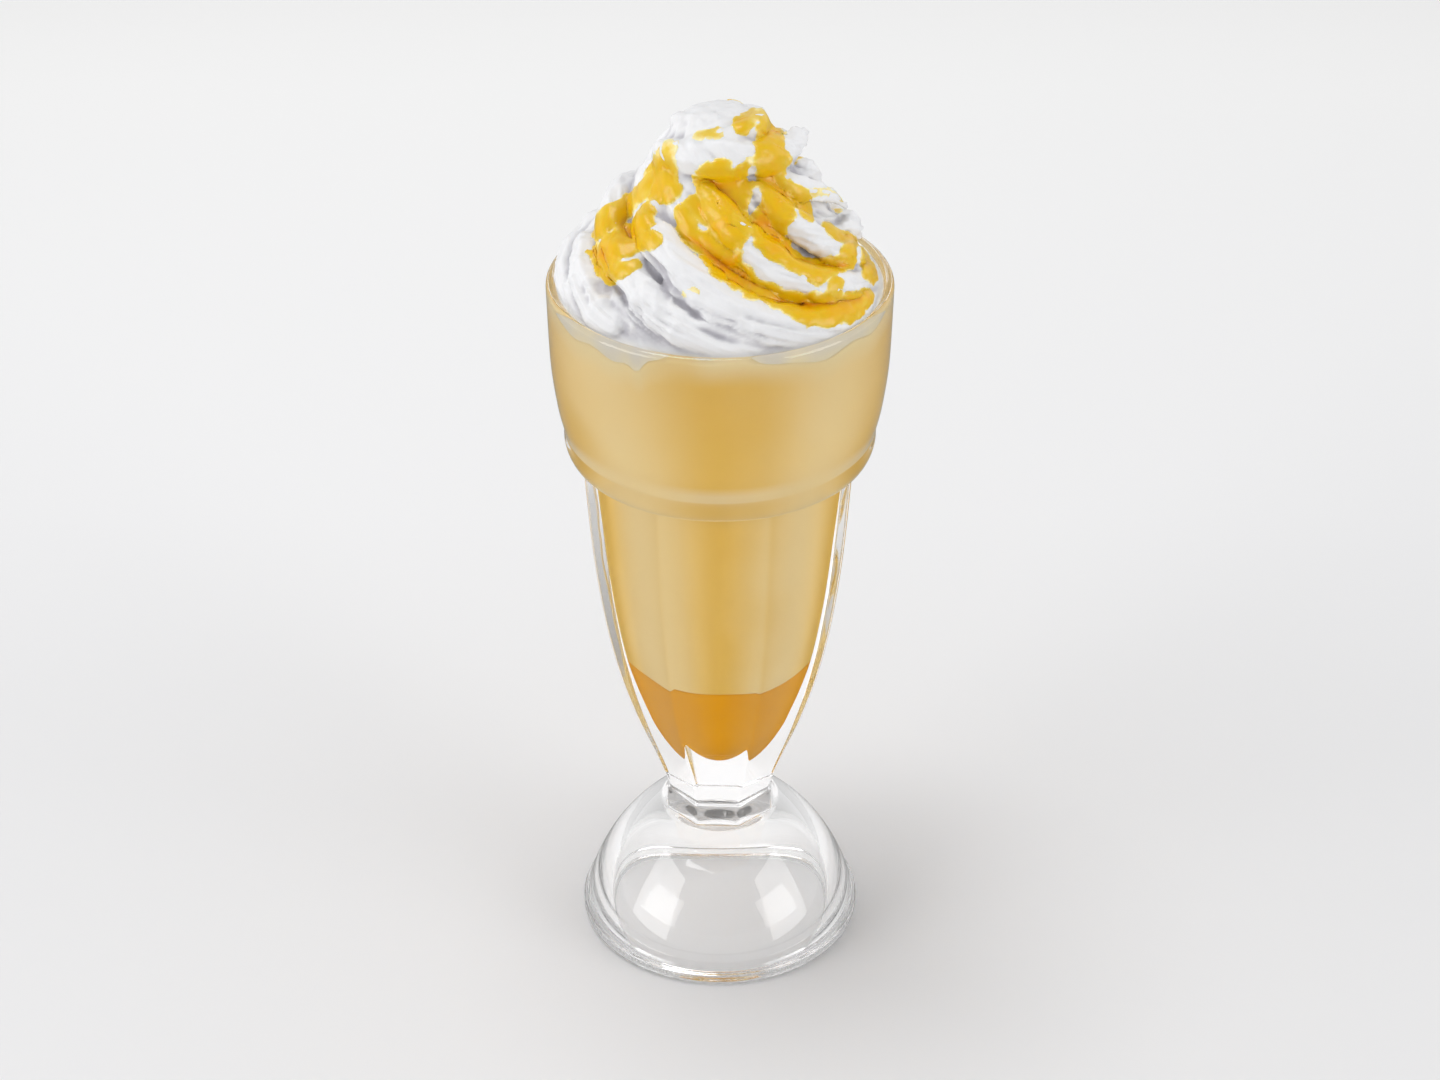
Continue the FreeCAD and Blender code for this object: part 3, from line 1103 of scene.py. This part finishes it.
@dataclass
class CreamSwirl:
    """Whipped cream, piped in a steep ridged swirl out of the glass. Millimetres.

    The heap's line gives heights above the lip and its radius there, at the crests.
    """

    glass: SodaGlass
    drink: Drink
    top: float
    peak_drop: float = 2.6
    plug_drop: float = 1.0
    plug_depth: float = 12.0
    seated_below: float = 1.2
    seat: float = 0.12
    points: int = 420
    rings: int = 230
    line: Rows = (
        (-1.6, 38.6), (4.0, 36.0), (10.0, 32.2), (16.0, 27.8), (22.0, 23.6), (28.0, 19.2),
        (34.0, 15.2), (39.0, 11.6), (41.6, 8.8), (42.9, 5.4), (43.4, 0.4),
    )
    ridges: int = 7
    ridge_depth: float = 0.13
    ridge_twist: float = 165.0
    crest_share: float = 0.22
    fold_steps: int = 90
    fold_points: int = 28
    voxel: float = 0.5
    soak_height: float = 8.0
    wall_reach: float = 1.0
    # These set a painted shade on the cream: darker in creases, in broad hollows and where it faces
    # down.
    crease_shade_rounds: int = 30
    crease_shade_depth: float = 0.8
    broad_shade_rounds: int = 200
    broad_shade_depth: float = 1.9
    underside_shade_share: float = 0.45
    streak_height: float = 0.42
    lump_height: float = 1.0
    torn_side: float = -32.0
    torn_width: float = 38.0

    @property
    def peak(self) -> float:
        """The height where the heap's line ends."""
        return self.top - self.peak_drop

    def heap_radius(self, height: Array) -> Array:
        """The heap's radius at the crests, at a height."""
        return smooth_curve(height - self.glass.lip_height, self.line)

    def heap(self) -> Array:
        """The swirl's skin as rings of points.

        Ridges are rounded outside with a sharp valley between them: one minus a power of
        abs(sin) of half their phase. They turn as they rise. Noise shifts each ridge, and
        makes some valleys deeper than others.
        """
        share = np.linspace(0, 1, self.rings)[:-1, None]
        turn = np.linspace(0, FULL_TURN, self.points, endpoint=False)[None, :]
        low = self.glass.lip_height + self.line[0][0]
        height = low + (self.peak - low) * share
        crest = self.heap_radius(height)
        place = around(crest, turn, height)
        wander = 0.16 * noise(place, 17.0, 3) + 0.07 * noise(place, 7.0, 5)
        lead = turn + math.pi / 2 + math.radians(self.ridge_twist) * (share - self.crest_share)
        phase = self.ridges * (lead + wander) + math.pi
        valley = 1 - np.abs(np.sin(phase / 2)) ** 0.7
        uneven = 1.0 + 0.6 * noise(place, 12.0, 11)
        fade = np.clip(share * 9, 0, 1) * np.clip((1 - share) * 6, 0, 1)
        radius = crest * (1 - self.ridge_depth * valley * uneven * fade)
        radius += 0.9 * noise(place, 11.0, 23) * fade
        droop = 1.6 * (0.5 - valley) * fade
        return around(radius, turn, height - droop)

    def plug(self) -> Array:
        """Rings of the part inside the glass: up the wall, which it touches, from the shake's
        edge to the foot of the heap."""
        turn = np.linspace(0, FULL_TURN, self.points, endpoint=False)
        edge = self.drink.edge_at(turn)
        share = np.linspace(0, 1, 14)[:, None]
        top = self.glass.lip_height - self.plug_drop
        height = (edge - 0.4) + (top - edge + 0.4) * share
        return around(self.glass.bore_radius(height) + self.seat, turn, height)

    def fold_grid(self, fold: Fold, number: int) -> Array:
        """A fold's skin as rings of points.

        The middle line runs smoothly through its rows. A ring is an ellipse across it, wide
        along the heap and thick outwards, whose outer half has shallow ribs that run along
        it. Both ends close to a point, as the square root of a circle does.

        Args:
            fold: the fold.
            number: which fold it is, for its own noise.

        Returns:
            Rings by points by three.
        """
        rows = np.array(fold.rows, float)
        where = np.linspace(0, len(rows) - 1, self.fold_steps)
        knots = np.arange(len(rows))
        turn, height, out, wide, thick = (
            smooth_curve(where, tuple(zip(knots, rows[:, i]))) for i in range(5)
        )
        angle = np.radians(turn - 90.0)
        radius = self.heap_radius(height) + out - 0.7
        middle = blurred(around(radius, angle, height), 3.0)
        along = np.gradient(middle, axis=0)
        along /= np.linalg.norm(along, axis=1, keepdims=True)
        outward = np.stack([np.cos(angle), np.sin(angle), np.full_like(angle, 0.75)], axis=1)
        outward -= along * np.sum(outward * along, axis=1, keepdims=True)
        outward /= np.linalg.norm(outward, axis=1, keepdims=True)
        across = np.cross(along, outward)
        spin = np.linspace(0, FULL_TURN, self.fold_points, endpoint=False)
        end = np.sqrt(np.clip(1 - np.abs(2 * where / where[-1] - 1) ** 6, 0, 1))
        place = np.stack([where * 2.2, np.full_like(where, 9.0 * number), where * 0], axis=1)
        width = wide * end * (1 + 0.16 * noise(place, 1.7, 61))
        height_out = thick * end * (1 + 0.16 * noise(place, 1.3, 67))
        rib = 1 - 0.13 * np.abs(np.sin(fold.ribs * spin)) * (np.sin(spin) > 0)
        sideways = (np.cos(spin) * rib)[None, :, None]
        outwards = (np.sin(spin) * rib)[None, :, None]
        side = sideways * (width[:, None, None] * across[:, None, :])
        lift = outwards * (height_out[:, None, None] * outward[:, None, :])
        return middle[:, None, :] + side + lift

    def seated(self, points: Array) -> Array:
        """The points with those beside the bore's wall moved just into it, below the lip."""
        radius = np.hypot(points[:, 0], points[:, 1])
        wall = self.glass.bore_radius(points[:, 2]) + self.seat
        low = points[:, 2] < self.glass.lip_height - self.seated_below
        beside = low & (radius > wall - self.wall_reach)
        scale = np.where(beside, wall / np.maximum(radius, 1.0), 1.0)
        return points * np.stack([scale, scale, np.ones_like(scale)], axis=1)

    def streaks(self, points: Array) -> Array:
        """The height of the fine grooves that the nozzle leaves along each ridge: noise that
        is drawn out along the way the ridges turn."""
        share = (points[:, 2] - self.glass.lip_height) / (self.peak - self.glass.lip_height)
        radius = np.hypot(points[:, 0], points[:, 1])
        turned = direction(points) + math.radians(self.ridge_twist) * share
        drawn = [radius * np.sin(turned), radius * np.cos(turned), points[:, 2] * 0.3]
        drawn = np.stack(drawn, axis=1)
        groove = 1 - 2 * np.abs(noise(drawn, 3.1, 97)) + 0.5 * noise(drawn, 1.4, 101)
        return self.streak_height * (groove - 0.4)

    def lumps(self, points: Array) -> Array:
        """The height of the broken lumps, low down where the cream has torn and slumped."""
        lift = points[:, 2] - self.glass.lip_height
        low = np.clip(1 - np.abs(lift - 8.0) / 9.0, 0, 1)
        stretched = points * np.array([1.0, 1.0, 0.6])
        torn = np.abs(noise(stretched, 6.5, 103)) + 0.5 * np.abs(noise(stretched, 3.2, 107))
        side = np.degrees(direction(points)) + 90.0
        share = 1 + bump_at(side, self.torn_side, self.torn_width)
        return self.lump_height * (0.45 - torn) * low * share

    def build(self) -> bpy.types.Object:
        """Makes the cream as one skin, with fine relief and a painted shade in its creases, broad
        hollows and undersides where it is in the open.
        """
        floor = self.glass.lip_height - self.plug_depth
        body = wrapped(
            "cream_swirl",
            np.concatenate([self.plug(), self.heap()]),
            on_axis(floor),
            on_axis(self.peak - 0.6),
        )
        pieces = [body]
        for number, fold in enumerate(FOLDS):
            grid = self.fold_grid(fold, number)
            pieces.append(wrapped(fold.name, grid, grid[0].mean(axis=0), grid[-1].mean(axis=0)))
        with bpy.context.temp_override(active_object=body, selected_editable_objects=pieces):
            bpy.ops.object.join()
        remeshed(body, self.voxel)
        points, normals = read_points(body), read_normals(body)
        eased = relaxed(body, points, 2)
        open_air = np.clip((points[:, 2] - self.glass.lip_height + 1.5) / 2.0, 0, 1)
        relief = 0.16 * rough(points, 3.4, 41) + self.streaks(points) + self.lumps(points)
        moved = points + (eased - points + normals * relief[:, None]) * open_air[:, None]
        moved = self.seated(moved)
        write_points(body, moved)
        # Painted shade: the cream darkens where it lies below its eased skin, in fine creases and
        # broad hollows, and where it faces down.
        fair = relaxed(body, moved, self.crease_shade_rounds)
        facing = read_normals(body)
        painted_shade = np.sum((fair - moved) * facing, axis=1) / self.crease_shade_depth
        broad = relaxed(body, fair, self.broad_shade_rounds)
        painted_shade += np.sum((broad - moved) * facing, axis=1) / self.broad_shade_depth
        painted_shade += self.underside_shade_share * np.clip(0.75 - facing[:, 2], 0, 1)
        write_attribute(body, "hollow", np.clip(painted_shade, 0, 1) * open_air)
        above = moved[:, 2] - self.drink.edge_height(moved)
        within = np.clip((self.glass.lip_height - 0.5 - moved[:, 2]) / 2.0, 0, 1)
        soak = np.clip(1 - above / self.soak_height, 0, 1) * (0.8 + 0.4 * noise(moved, 6.0, 89))
        write_attribute(body, "soak", np.clip(soak, 0, 1) * within)
        finish = ThickDrink(
            "whipped_cream",
            light=(0.77, 0.77, 0.775),
            dark=(0.70, 0.70, 0.715),
            scatter=(1.0, 0.9, 0.8),
            soaked=(0.98, 0.87, 0.58),
            # painted shade tone for creases, hollows and undersides
            hollow=(0.44, 0.43, 0.465),
            scatter_weight=0.12,
            scale=150.0,
            roughness=0.45,
            relief=0.0002,
        )
        dress(body, finish.build(), Slot.CREAM, "whipped_cream")
        return body


# ---------------------------------------------------------------- the sauce on top


@dataclass(frozen=True)
class Run:
    """One run of sauce poured over the cream.

    It is poured towards one side of the heap. Each row gives a place as seen from that side,
    tipped down on it: how far across and how far up, then half the run's width and its
    depth, in millimetres.
    """

    name: str
    rows: Rows
    side: float = 0.0


RUNS = (
    Run("column", (
        (12.0, 194.0, 3.0, 0.7), (11.8, 187.5, 4.0, 0.9), (12.0, 181.5, 4.0, 0.9),
        (13.4, 176.0, 4.4, 1.0), (11.0, 170.0, 4.8, 1.2), (12.6, 164.5, 3.6, 1.2),
        (16.5, 161.5, 2.6, 0.9),
    )),
    Run("column_spur", ((15.0, 178.0, 3.0, 0.8), (18.6, 177.0, 3.0, 0.8), (20.5, 173.0, 1.8, 0.6))),
    Run("middle_blob", (
        (-1.8, 180.0, 4.6, 0.9), (3.4, 179.0, 5.0, 1.0), (1.0, 174.5, 5.6, 1.1),
        (2.3, 168.0, 4.2, 1.0),
    )),
    Run("middle_spread", ((-5.0, 174.0, 3.4, 0.6), (1.0, 172.0, 4.0, 0.9), (5.5, 169.0, 2.6, 0.6))),
    Run("curl", (
        (5.0, 193.0, 2.4, 0.9), (7.4, 195.8, 2.0, 0.4), (10.7, 197.0, 2.2, 0.4),
        (11.6, 193.4, 2.6, 0.7),
    )),
    Run("upper_left", (
        (-12.0, 187.5, 2.4, 0.4), (-14.0, 182.5, 3.6, 0.6), (-12.7, 178.4, 4.0, 0.9),
    )),
    Run("left_edge", (
        (-15.7, 181.0, 2.2, 0.5), (-20.5, 176.7, 2.6, 0.6), (-25.3, 173.6, 3.2, 0.8),
        (-28.2, 170.0, 2.4, 0.7),
    )),
    Run("left_loop", (
        (-16.6, 173.5, 2.6, 0.7), (-18.5, 169.7, 3.0, 1.0), (-22.8, 167.2, 3.4, 0.8),
        (-27.3, 163.4, 3.6, 1.3), (-25.0, 159.0, 2.2, 0.8), (-19.6, 160.8, 1.6, 0.5),
    )),
    Run("left_patch", ((-16.0, 166.8, 2.6, 0.7), (-21.3, 166.0, 3.2, 0.8))),
    Run("front_stream", (
        (-8.4, 173.0, 2.2, 0.7), (-6.9, 167.4, 2.4, 1.0), (-2.3, 164.0, 3.2, 1.2),
        (1.8, 160.0, 4.2, 1.4), (7.0, 156.4, 3.0, 1.0), (12.6, 152.8, 2.8, 0.9),
        (20.7, 150.4, 3.8, 1.1), (30.0, 151.2, 4.4, 1.2), (34.3, 154.4, 2.4, 0.9),
    )),
    Run("right_loop", (
        (16.2, 161.5, 2.6, 0.9), (23.0, 159.6, 3.2, 1.0), (29.2, 162.6, 2.4, 0.8),
        (31.2, 168.0, 2.4, 0.8), (25.2, 170.6, 1.8, 0.5),
    )),
    Run("right_patch", ((34.6, 166.7, 2.0, 0.6), (36.0, 161.2, 3.0, 0.9))),
    Run("right_drop", ((26.7, 157.0, 2.2, 0.7), (27.4, 154.0, 1.6, 0.5))),
    Run("top_film", ((-4.8, 190.4, 1.6, 0.25), (-0.9, 190.8, 1.8, 0.25))),
    Run("right_film", (
        (21.5, 178.2, 1.1, 0.25), (26.5, 179.2, 1.3, 0.25), (28.6, 177.0, 1.0, 0.25),
    )),
    Run("front_film", ((-7.6, 154.0, 1.2, 0.2), (-5.8, 153.8, 1.4, 0.2))),
    Run("back_column", (
        (-4.0, 188.0, 4.0, 0.9), (-2.0, 180.0, 4.4, 1.0),
        (3.0, 172.0, 4.0, 1.1), (10.0, 165.0, 3.4, 1.0), (18.0, 159.0, 3.4, 1.1),
        (26.0, 156.0, 2.4, 0.8),
    ), 180.0),
    Run("back_left", (
        (-9.0, 184.0, 3.0, 0.7), (-14.0, 176.0, 3.6, 0.9), (-20.0, 168.0, 3.2, 0.9),
        (-24.0, 161.0, 2.4, 0.9),
    ), 180.0),
    Run("back_right", (
        (8.0, 180.0, 3.0, 0.8), (15.0, 174.0, 3.4, 0.9), (22.0, 170.0, 2.4, 0.7),
    ), 180.0),
    Run("back_low", (
        (-4.0, 166.0, 3.2, 0.9), (-8.0, 159.0, 3.0, 1.0), (-6.0, 152.0, 2.6, 1.0),
        (0.0, 148.0, 2.0, 0.7),
    ), 180.0),
)


@dataclass
class MangoTopping:
    """Mango sauce poured over the cream. Millimetres.

    The runs of the front are laid on the heap along the camera's own line of sight, whose
    slant is the tip, so their outlines are as written only from there.
    """

    lowest: float
    outside: float = -9.0
    thinnest: float = 0.1
    behind: float = 14.0
    tip: float = 32.25
    ragged: float = 0.28
    skirt: float = -0.22
    under: float = 0.6
    fill_rounds: int = 18
    pool_rounds: int = 5
    thin_share: float = 0.15
    thin_edge: float = 0.16
    deepest: float = 1.6
    pool_depth: float = 1.3

    def spread(self, run: Run, points: Array, normals: Array) -> tuple[Array, Array]:
        """How well each point lies within a run, and the run's depth there.

        A point is turned so that the run's side faces the front, and is seen across and up,
        up being z cos(tip) + y sin(tip). The first value is 1 on the run's middle line, 0 at
        its edge, and falls off in a straight line beyond.
        """
        turn = math.radians(run.side)
        cos, sin = math.cos(turn), math.sin(turn)
        rotate = np.array([[cos, sin, 0], [-sin, cos, 0], [0, 0, 1]])
        seen, facing = points @ rotate.T, normals @ rotate.T
        lean = math.radians(self.tip)
        up = seen[:, 2] * math.cos(lean) + seen[:, 1] * math.sin(lean)
        flat = np.stack([seen[:, 0], up], axis=1)
        towards = facing[:, 2] * math.sin(lean) - facing[:, 1] * math.cos(lean)
        rows = np.array(run.rows)
        best, depth = np.full(len(points), self.outside), np.zeros(len(points))
        for start, end in zip(rows[:-1], rows[1:]):
            way = end[:2] - start[:2]
            share = np.clip((flat - start[:2]) @ way / (way @ way), 0, 1)
            away = np.linalg.norm(flat - start[:2] - share[:, None] * way, axis=1)
            within = 1 - away / (start[2] + share * (end[2] - start[2]))
            better = within > best
            best = np.where(better, within, best)
            depth = np.where(better, start[3] + share * (end[3] - start[3]), depth)
        shown = (towards > -0.25) & (seen[:, 1] < self.behind)
        return np.where(shown, best, self.outside), depth

    def build(self, cream: bpy.types.Object) -> bpy.types.Object:
        """Makes the sauce from the part of the cream's skin that it covers.

        The skin is eased, which fills its hollows, and lifted by the sauce's depth times the
        root of how well it lies within a run. Past its edge it dips under the cream, and a
        second skin beneath closes it.
        """
        points, normals = read_points(cream), read_normals(cream)
        within, depth = np.full(len(points), self.outside), np.zeros(len(points))
        for run in RUNS:
            here, deep = self.spread(run, points, normals)
            better = here > within
            within, depth = np.where(better, here, within), np.where(better, deep, depth)
        within += self.ragged * (noise(points, 3.2, 71) + 0.7 * noise(points, 1.5, 73))
        within -= np.clip(self.lowest - points[:, 2], 0, 1) * 3
        eased = relaxed(cream, points, self.fill_rounds)
        hollow = np.sum((eased - points) * normals, axis=1)
        body = np.sqrt(np.clip(within, 0, 1))
        spread_hollow = relaxed(cream, hollow[:, None], self.pool_rounds)[:, 0]
        pooled = np.clip(spread_hollow / self.pool_depth, -0.12, 0.7) * body
        thick = np.where(within > 0, np.maximum(depth * body, self.thinnest), self.skirt)
        corners, sizes = read_corners(cream)
        face_of = np.repeat(np.arange(len(sizes)), sizes)
        wet = np.bincount(face_of, within[corners] > 0, len(sizes)) > 0
        wide = np.zeros(len(points), bool)
        wide[corners[wet[face_of]]] = True
        near = np.bincount(face_of, wide[corners], len(sizes)) > 0
        quads = corners.reshape(-1, 4)[near]
        used, packed = np.unique(quads, return_inverse=True)
        packed = packed.reshape(-1, 4)
        smooth = points + (eased - points) * body[:, None]
        top = smooth[used] + normals[used] * thick[used, None]
        low = points[used] - normals[used] * self.under
        count = len(used)
        edges = np.stack([packed, np.roll(packed, -1, axis=1)], axis=-1).reshape(-1, 2)
        key = edges[:, 0] * count + edges[:, 1]
        opposite = edges[:, 1] * count + edges[:, 0]
        rim = edges[~np.isin(key, opposite)]
        walls = np.stack([rim[:, 1], rim[:, 0], rim[:, 0] + count, rim[:, 1] + count], axis=1)
        faces = [packed, packed[:, ::-1] + count, walls]
        piece = mesh_object("mango_topping", np.concatenate([top, low]), faces)
        inside = np.clip(within[used] / self.thin_edge, 0, 1)
        inside = self.thin_share + (1 - self.thin_share) * inside
        shown = np.maximum(thick[used], 0) / self.deepest * inside + pooled[used]
        shown = np.clip(shown, 0, 1)
        write_attribute(piece, "depth", np.concatenate([shown, shown]))
        dress(piece, MangoGlaze().build(), Slot.SAUCE)
        return piece


# ---------------------------------------------------------------- the room


@dataclass
class Studio:
    """A pale seamless floor, soft light from all round, and the camera. Metres."""

    floor_half: float = 3.0
    camera_distance: float = 0.6379
    camera_height: float = 0.5179
    camera_pitch: float = 32.25
    lens: float = 74.58
    sensor: float = 36.0
    # The floor's colour is painted light: darker in front, lighter far behind; mirrored dims it in
    # reflections, and the glow through glass and far glow are painted glows.
    floor_painted_falloff: Rows = (
        (0.0, 0.76, 0.76, 0.77), (0.2, 0.84, 0.84, 0.85), (0.6, 0.92, 0.92, 0.92),
    )
    mirrored: Tone = (0.3, 0.3, 0.3)
    glow_through_glass: float = 0.2
    far_glow: Rows = ((0.1, 0.0, 0.0, 0.0), (0.55, 0.10, 0.10, 0.10))
    sides: Rows = (
        (0.0, 0.6, 0.6, 0.6), (0.3, 0.8, 0.8, 0.8), (0.5, 1.0, 1.0, 1.0), (1.0, 0.85, 0.85, 0.85),
    )
    overhead: Rows = ((0.0, 1.0, 1.0, 1.0), (0.6, 0.58, 0.58, 0.58))
    world_strength: float = 1.02
    aim_height: float = 0.12
    all_bounces: int = 32
    clear_bounces: int = 24
    softboxes: tuple[tuple[str, tuple[float, float, float], float, float], ...] = (
        ("top_softbox", (-0.15, 0.1, 1.1), 0.45, 3.5),
        ("left_softbox", (-0.9, -0.5, 0.35), 0.7, 5.5),
        ("right_softbox", (0.9, -0.5, 0.35), 0.7, 5.0),
    )

    def build_floor(self) -> None:
        """Makes the floor, which takes the object's soft shadow. Its colour carries painted light:
        darker in front and round the glass, lighter further behind, darker where it is seen in
        reflections, and a painted glow where it is seen through the glass and far off.
        """
        half = self.floor_half / MM
        corners = half * np.array([[-1, -1, 0], [1, -1, 0], [1, 1, 0], [-1, 1, 0]], float)
        floor = mesh_object("studio_floor", corners, [np.array([[0, 1, 2, 3]])])
        shader = Shader("studio_floor")
        split = shader.node("ShaderNodeSeparateXYZ")
        shader.join(shader.place(), split.inputs["Vector"])
        ray = shader.node("ShaderNodeLightPath")
        # painted light: the floor is darker in front and lighter further behind
        colour = shader.ramp(split.outputs["Y"], self.floor_painted_falloff)
        outside = shader.node("ShaderNodeMath")
        outside.operation = "SUBTRACT"
        outside.use_clamp = True
        shader.join(ray.outputs["Is Glossy Ray"], outside.inputs[0])
        shader.join(ray.outputs["Is Transmission Ray"], outside.inputs[1])
        # painted reflection: the floor is dimmed where it is seen in reflections
        colour = shader.blend(outside.outputs["Value"], colour, self.mirrored)
        shader.join(colour, shader.surface.inputs["Base Color"])
        # painted glow where the floor is seen through the glass, and far off where the camera sees
        # it
        through_stops = ((0.0, 0.0, 0.0, 0.0), (1.0, *[self.glow_through_glass] * 3))
        through = shader.ramp(ray.outputs["Is Transmission Ray"], through_stops)
        far = shader.ramp(split.outputs["Y"], self.far_glow)
        glow = add_colour_mix(shader.tree)
        shader.join(ray.outputs["Is Camera Ray"], glow.inputs["Factor"])
        shader.join(through, glow.inputs["A"])
        shader.join(far, glow.inputs["B"])
        shader.join(glow.outputs["Result"], shader.surface.inputs["Emission Color"])
        shader.set(Roughness=0.7, Specular_IOR_Level=0.1, Emission_Strength=1.0)
        floor.data.materials.append(shader.material)

    def build_world(self) -> None:
        """Light from all round: brightest at the sides and behind, greyer in front."""
        world = bpy.data.worlds.new("studio")
        bpy.context.scene.world = world
        world.use_nodes = True
        tree = world.node_tree
        background = tree.nodes["Background"]
        place = tree.nodes.new("ShaderNodeTexCoord")
        split = tree.nodes.new("ShaderNodeSeparateXYZ")
        tree.links.new(place.outputs["Generated"], split.inputs["Vector"])
        spread = tree.nodes.new("ShaderNodeMapRange")
        spread.inputs["From Min"].default_value = -1.0
        tree.links.new(split.outputs["Y"], spread.inputs["Value"])
        mix = add_colour_mix(tree)
        mix.blend_type = "MULTIPLY"
        mix.inputs["Factor"].default_value = 1.0
        tree.links.new(add_ramp(tree, spread.outputs["Result"], self.sides), mix.inputs["A"])
        tree.links.new(add_ramp(tree, split.outputs["Z"], self.overhead), mix.inputs["B"])
        tree.links.new(mix.outputs["Result"], background.inputs["Color"])
        background.inputs["Strength"].default_value = self.world_strength

    def add_softbox(self, name: str, place: Tone, size: float, power: float) -> None:
        """Hangs a square soft light that faces the middle of the glass.

        Args:
            name: the light's name.
            place: where it hangs.
            size: its side.
            power: its power in watts.
        """
        lamp = bpy.data.lights.new(name, "AREA")
        lamp.shape = "SQUARE"
        lamp.size = size
        lamp.energy = power
        holder = bpy.data.objects.new(name, lamp)
        bpy.context.scene.collection.objects.link(holder)
        holder.location = place
        away = np.array(place) - on_axis(self.aim_height)
        pitch = math.acos(away[2] / np.linalg.norm(away))
        holder.rotation_euler = (pitch, 0.0, math.atan2(away[1], away[0]) + math.pi / 2)

    def build_camera(self) -> None:
        """Sets the camera, which looks down on the rim."""
        data = bpy.data.cameras.new("camera")
        data.lens = self.lens
        data.sensor_width = self.sensor
        camera = bpy.data.objects.new("camera", data)
        bpy.context.scene.collection.objects.link(camera)
        camera.location = (0.0, -self.camera_distance, self.camera_height)
        camera.rotation_euler = (math.radians(90.0 - self.camera_pitch), 0.0, 0.0)
        bpy.context.scene.camera = camera

    def build(self) -> None:
        """Makes the camera, the floor and the light."""
        scene = bpy.context.scene
        scene.view_settings.view_transform = "Standard"
        scene.cycles.max_bounces = self.all_bounces
        scene.cycles.glossy_bounces = self.clear_bounces
        scene.cycles.transmission_bounces = self.clear_bounces
        self.build_camera()
        self.build_floor()
        self.build_world()
        for softbox in self.softboxes:
            self.add_softbox(*softbox)


def main() -> None:
    """Builds the room and the milkshake."""
    logging.basicConfig(level=logging.INFO, format="%(name)s %(message)s")
    Studio().build()
    glass = SodaGlass(
        lip_height=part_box("glass")[1].z / MM,
        bore_floor=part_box("mango_sauce")[0].z / MM,
    )
    glass.build()
    drink = Drink(glass, sauce_level=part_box("mango_sauce")[1].z / MM)
    drink.build_sauce()
    drink.build_shake()
    skin = CreamSwirl(glass, drink, top=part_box("whipped_cream")[1].z / MM).build()
    MangoTopping(lowest=glass.lip_height + SAUCE_ABOVE_LIP).build(skin)


if __name__ == "__main__":
    main()
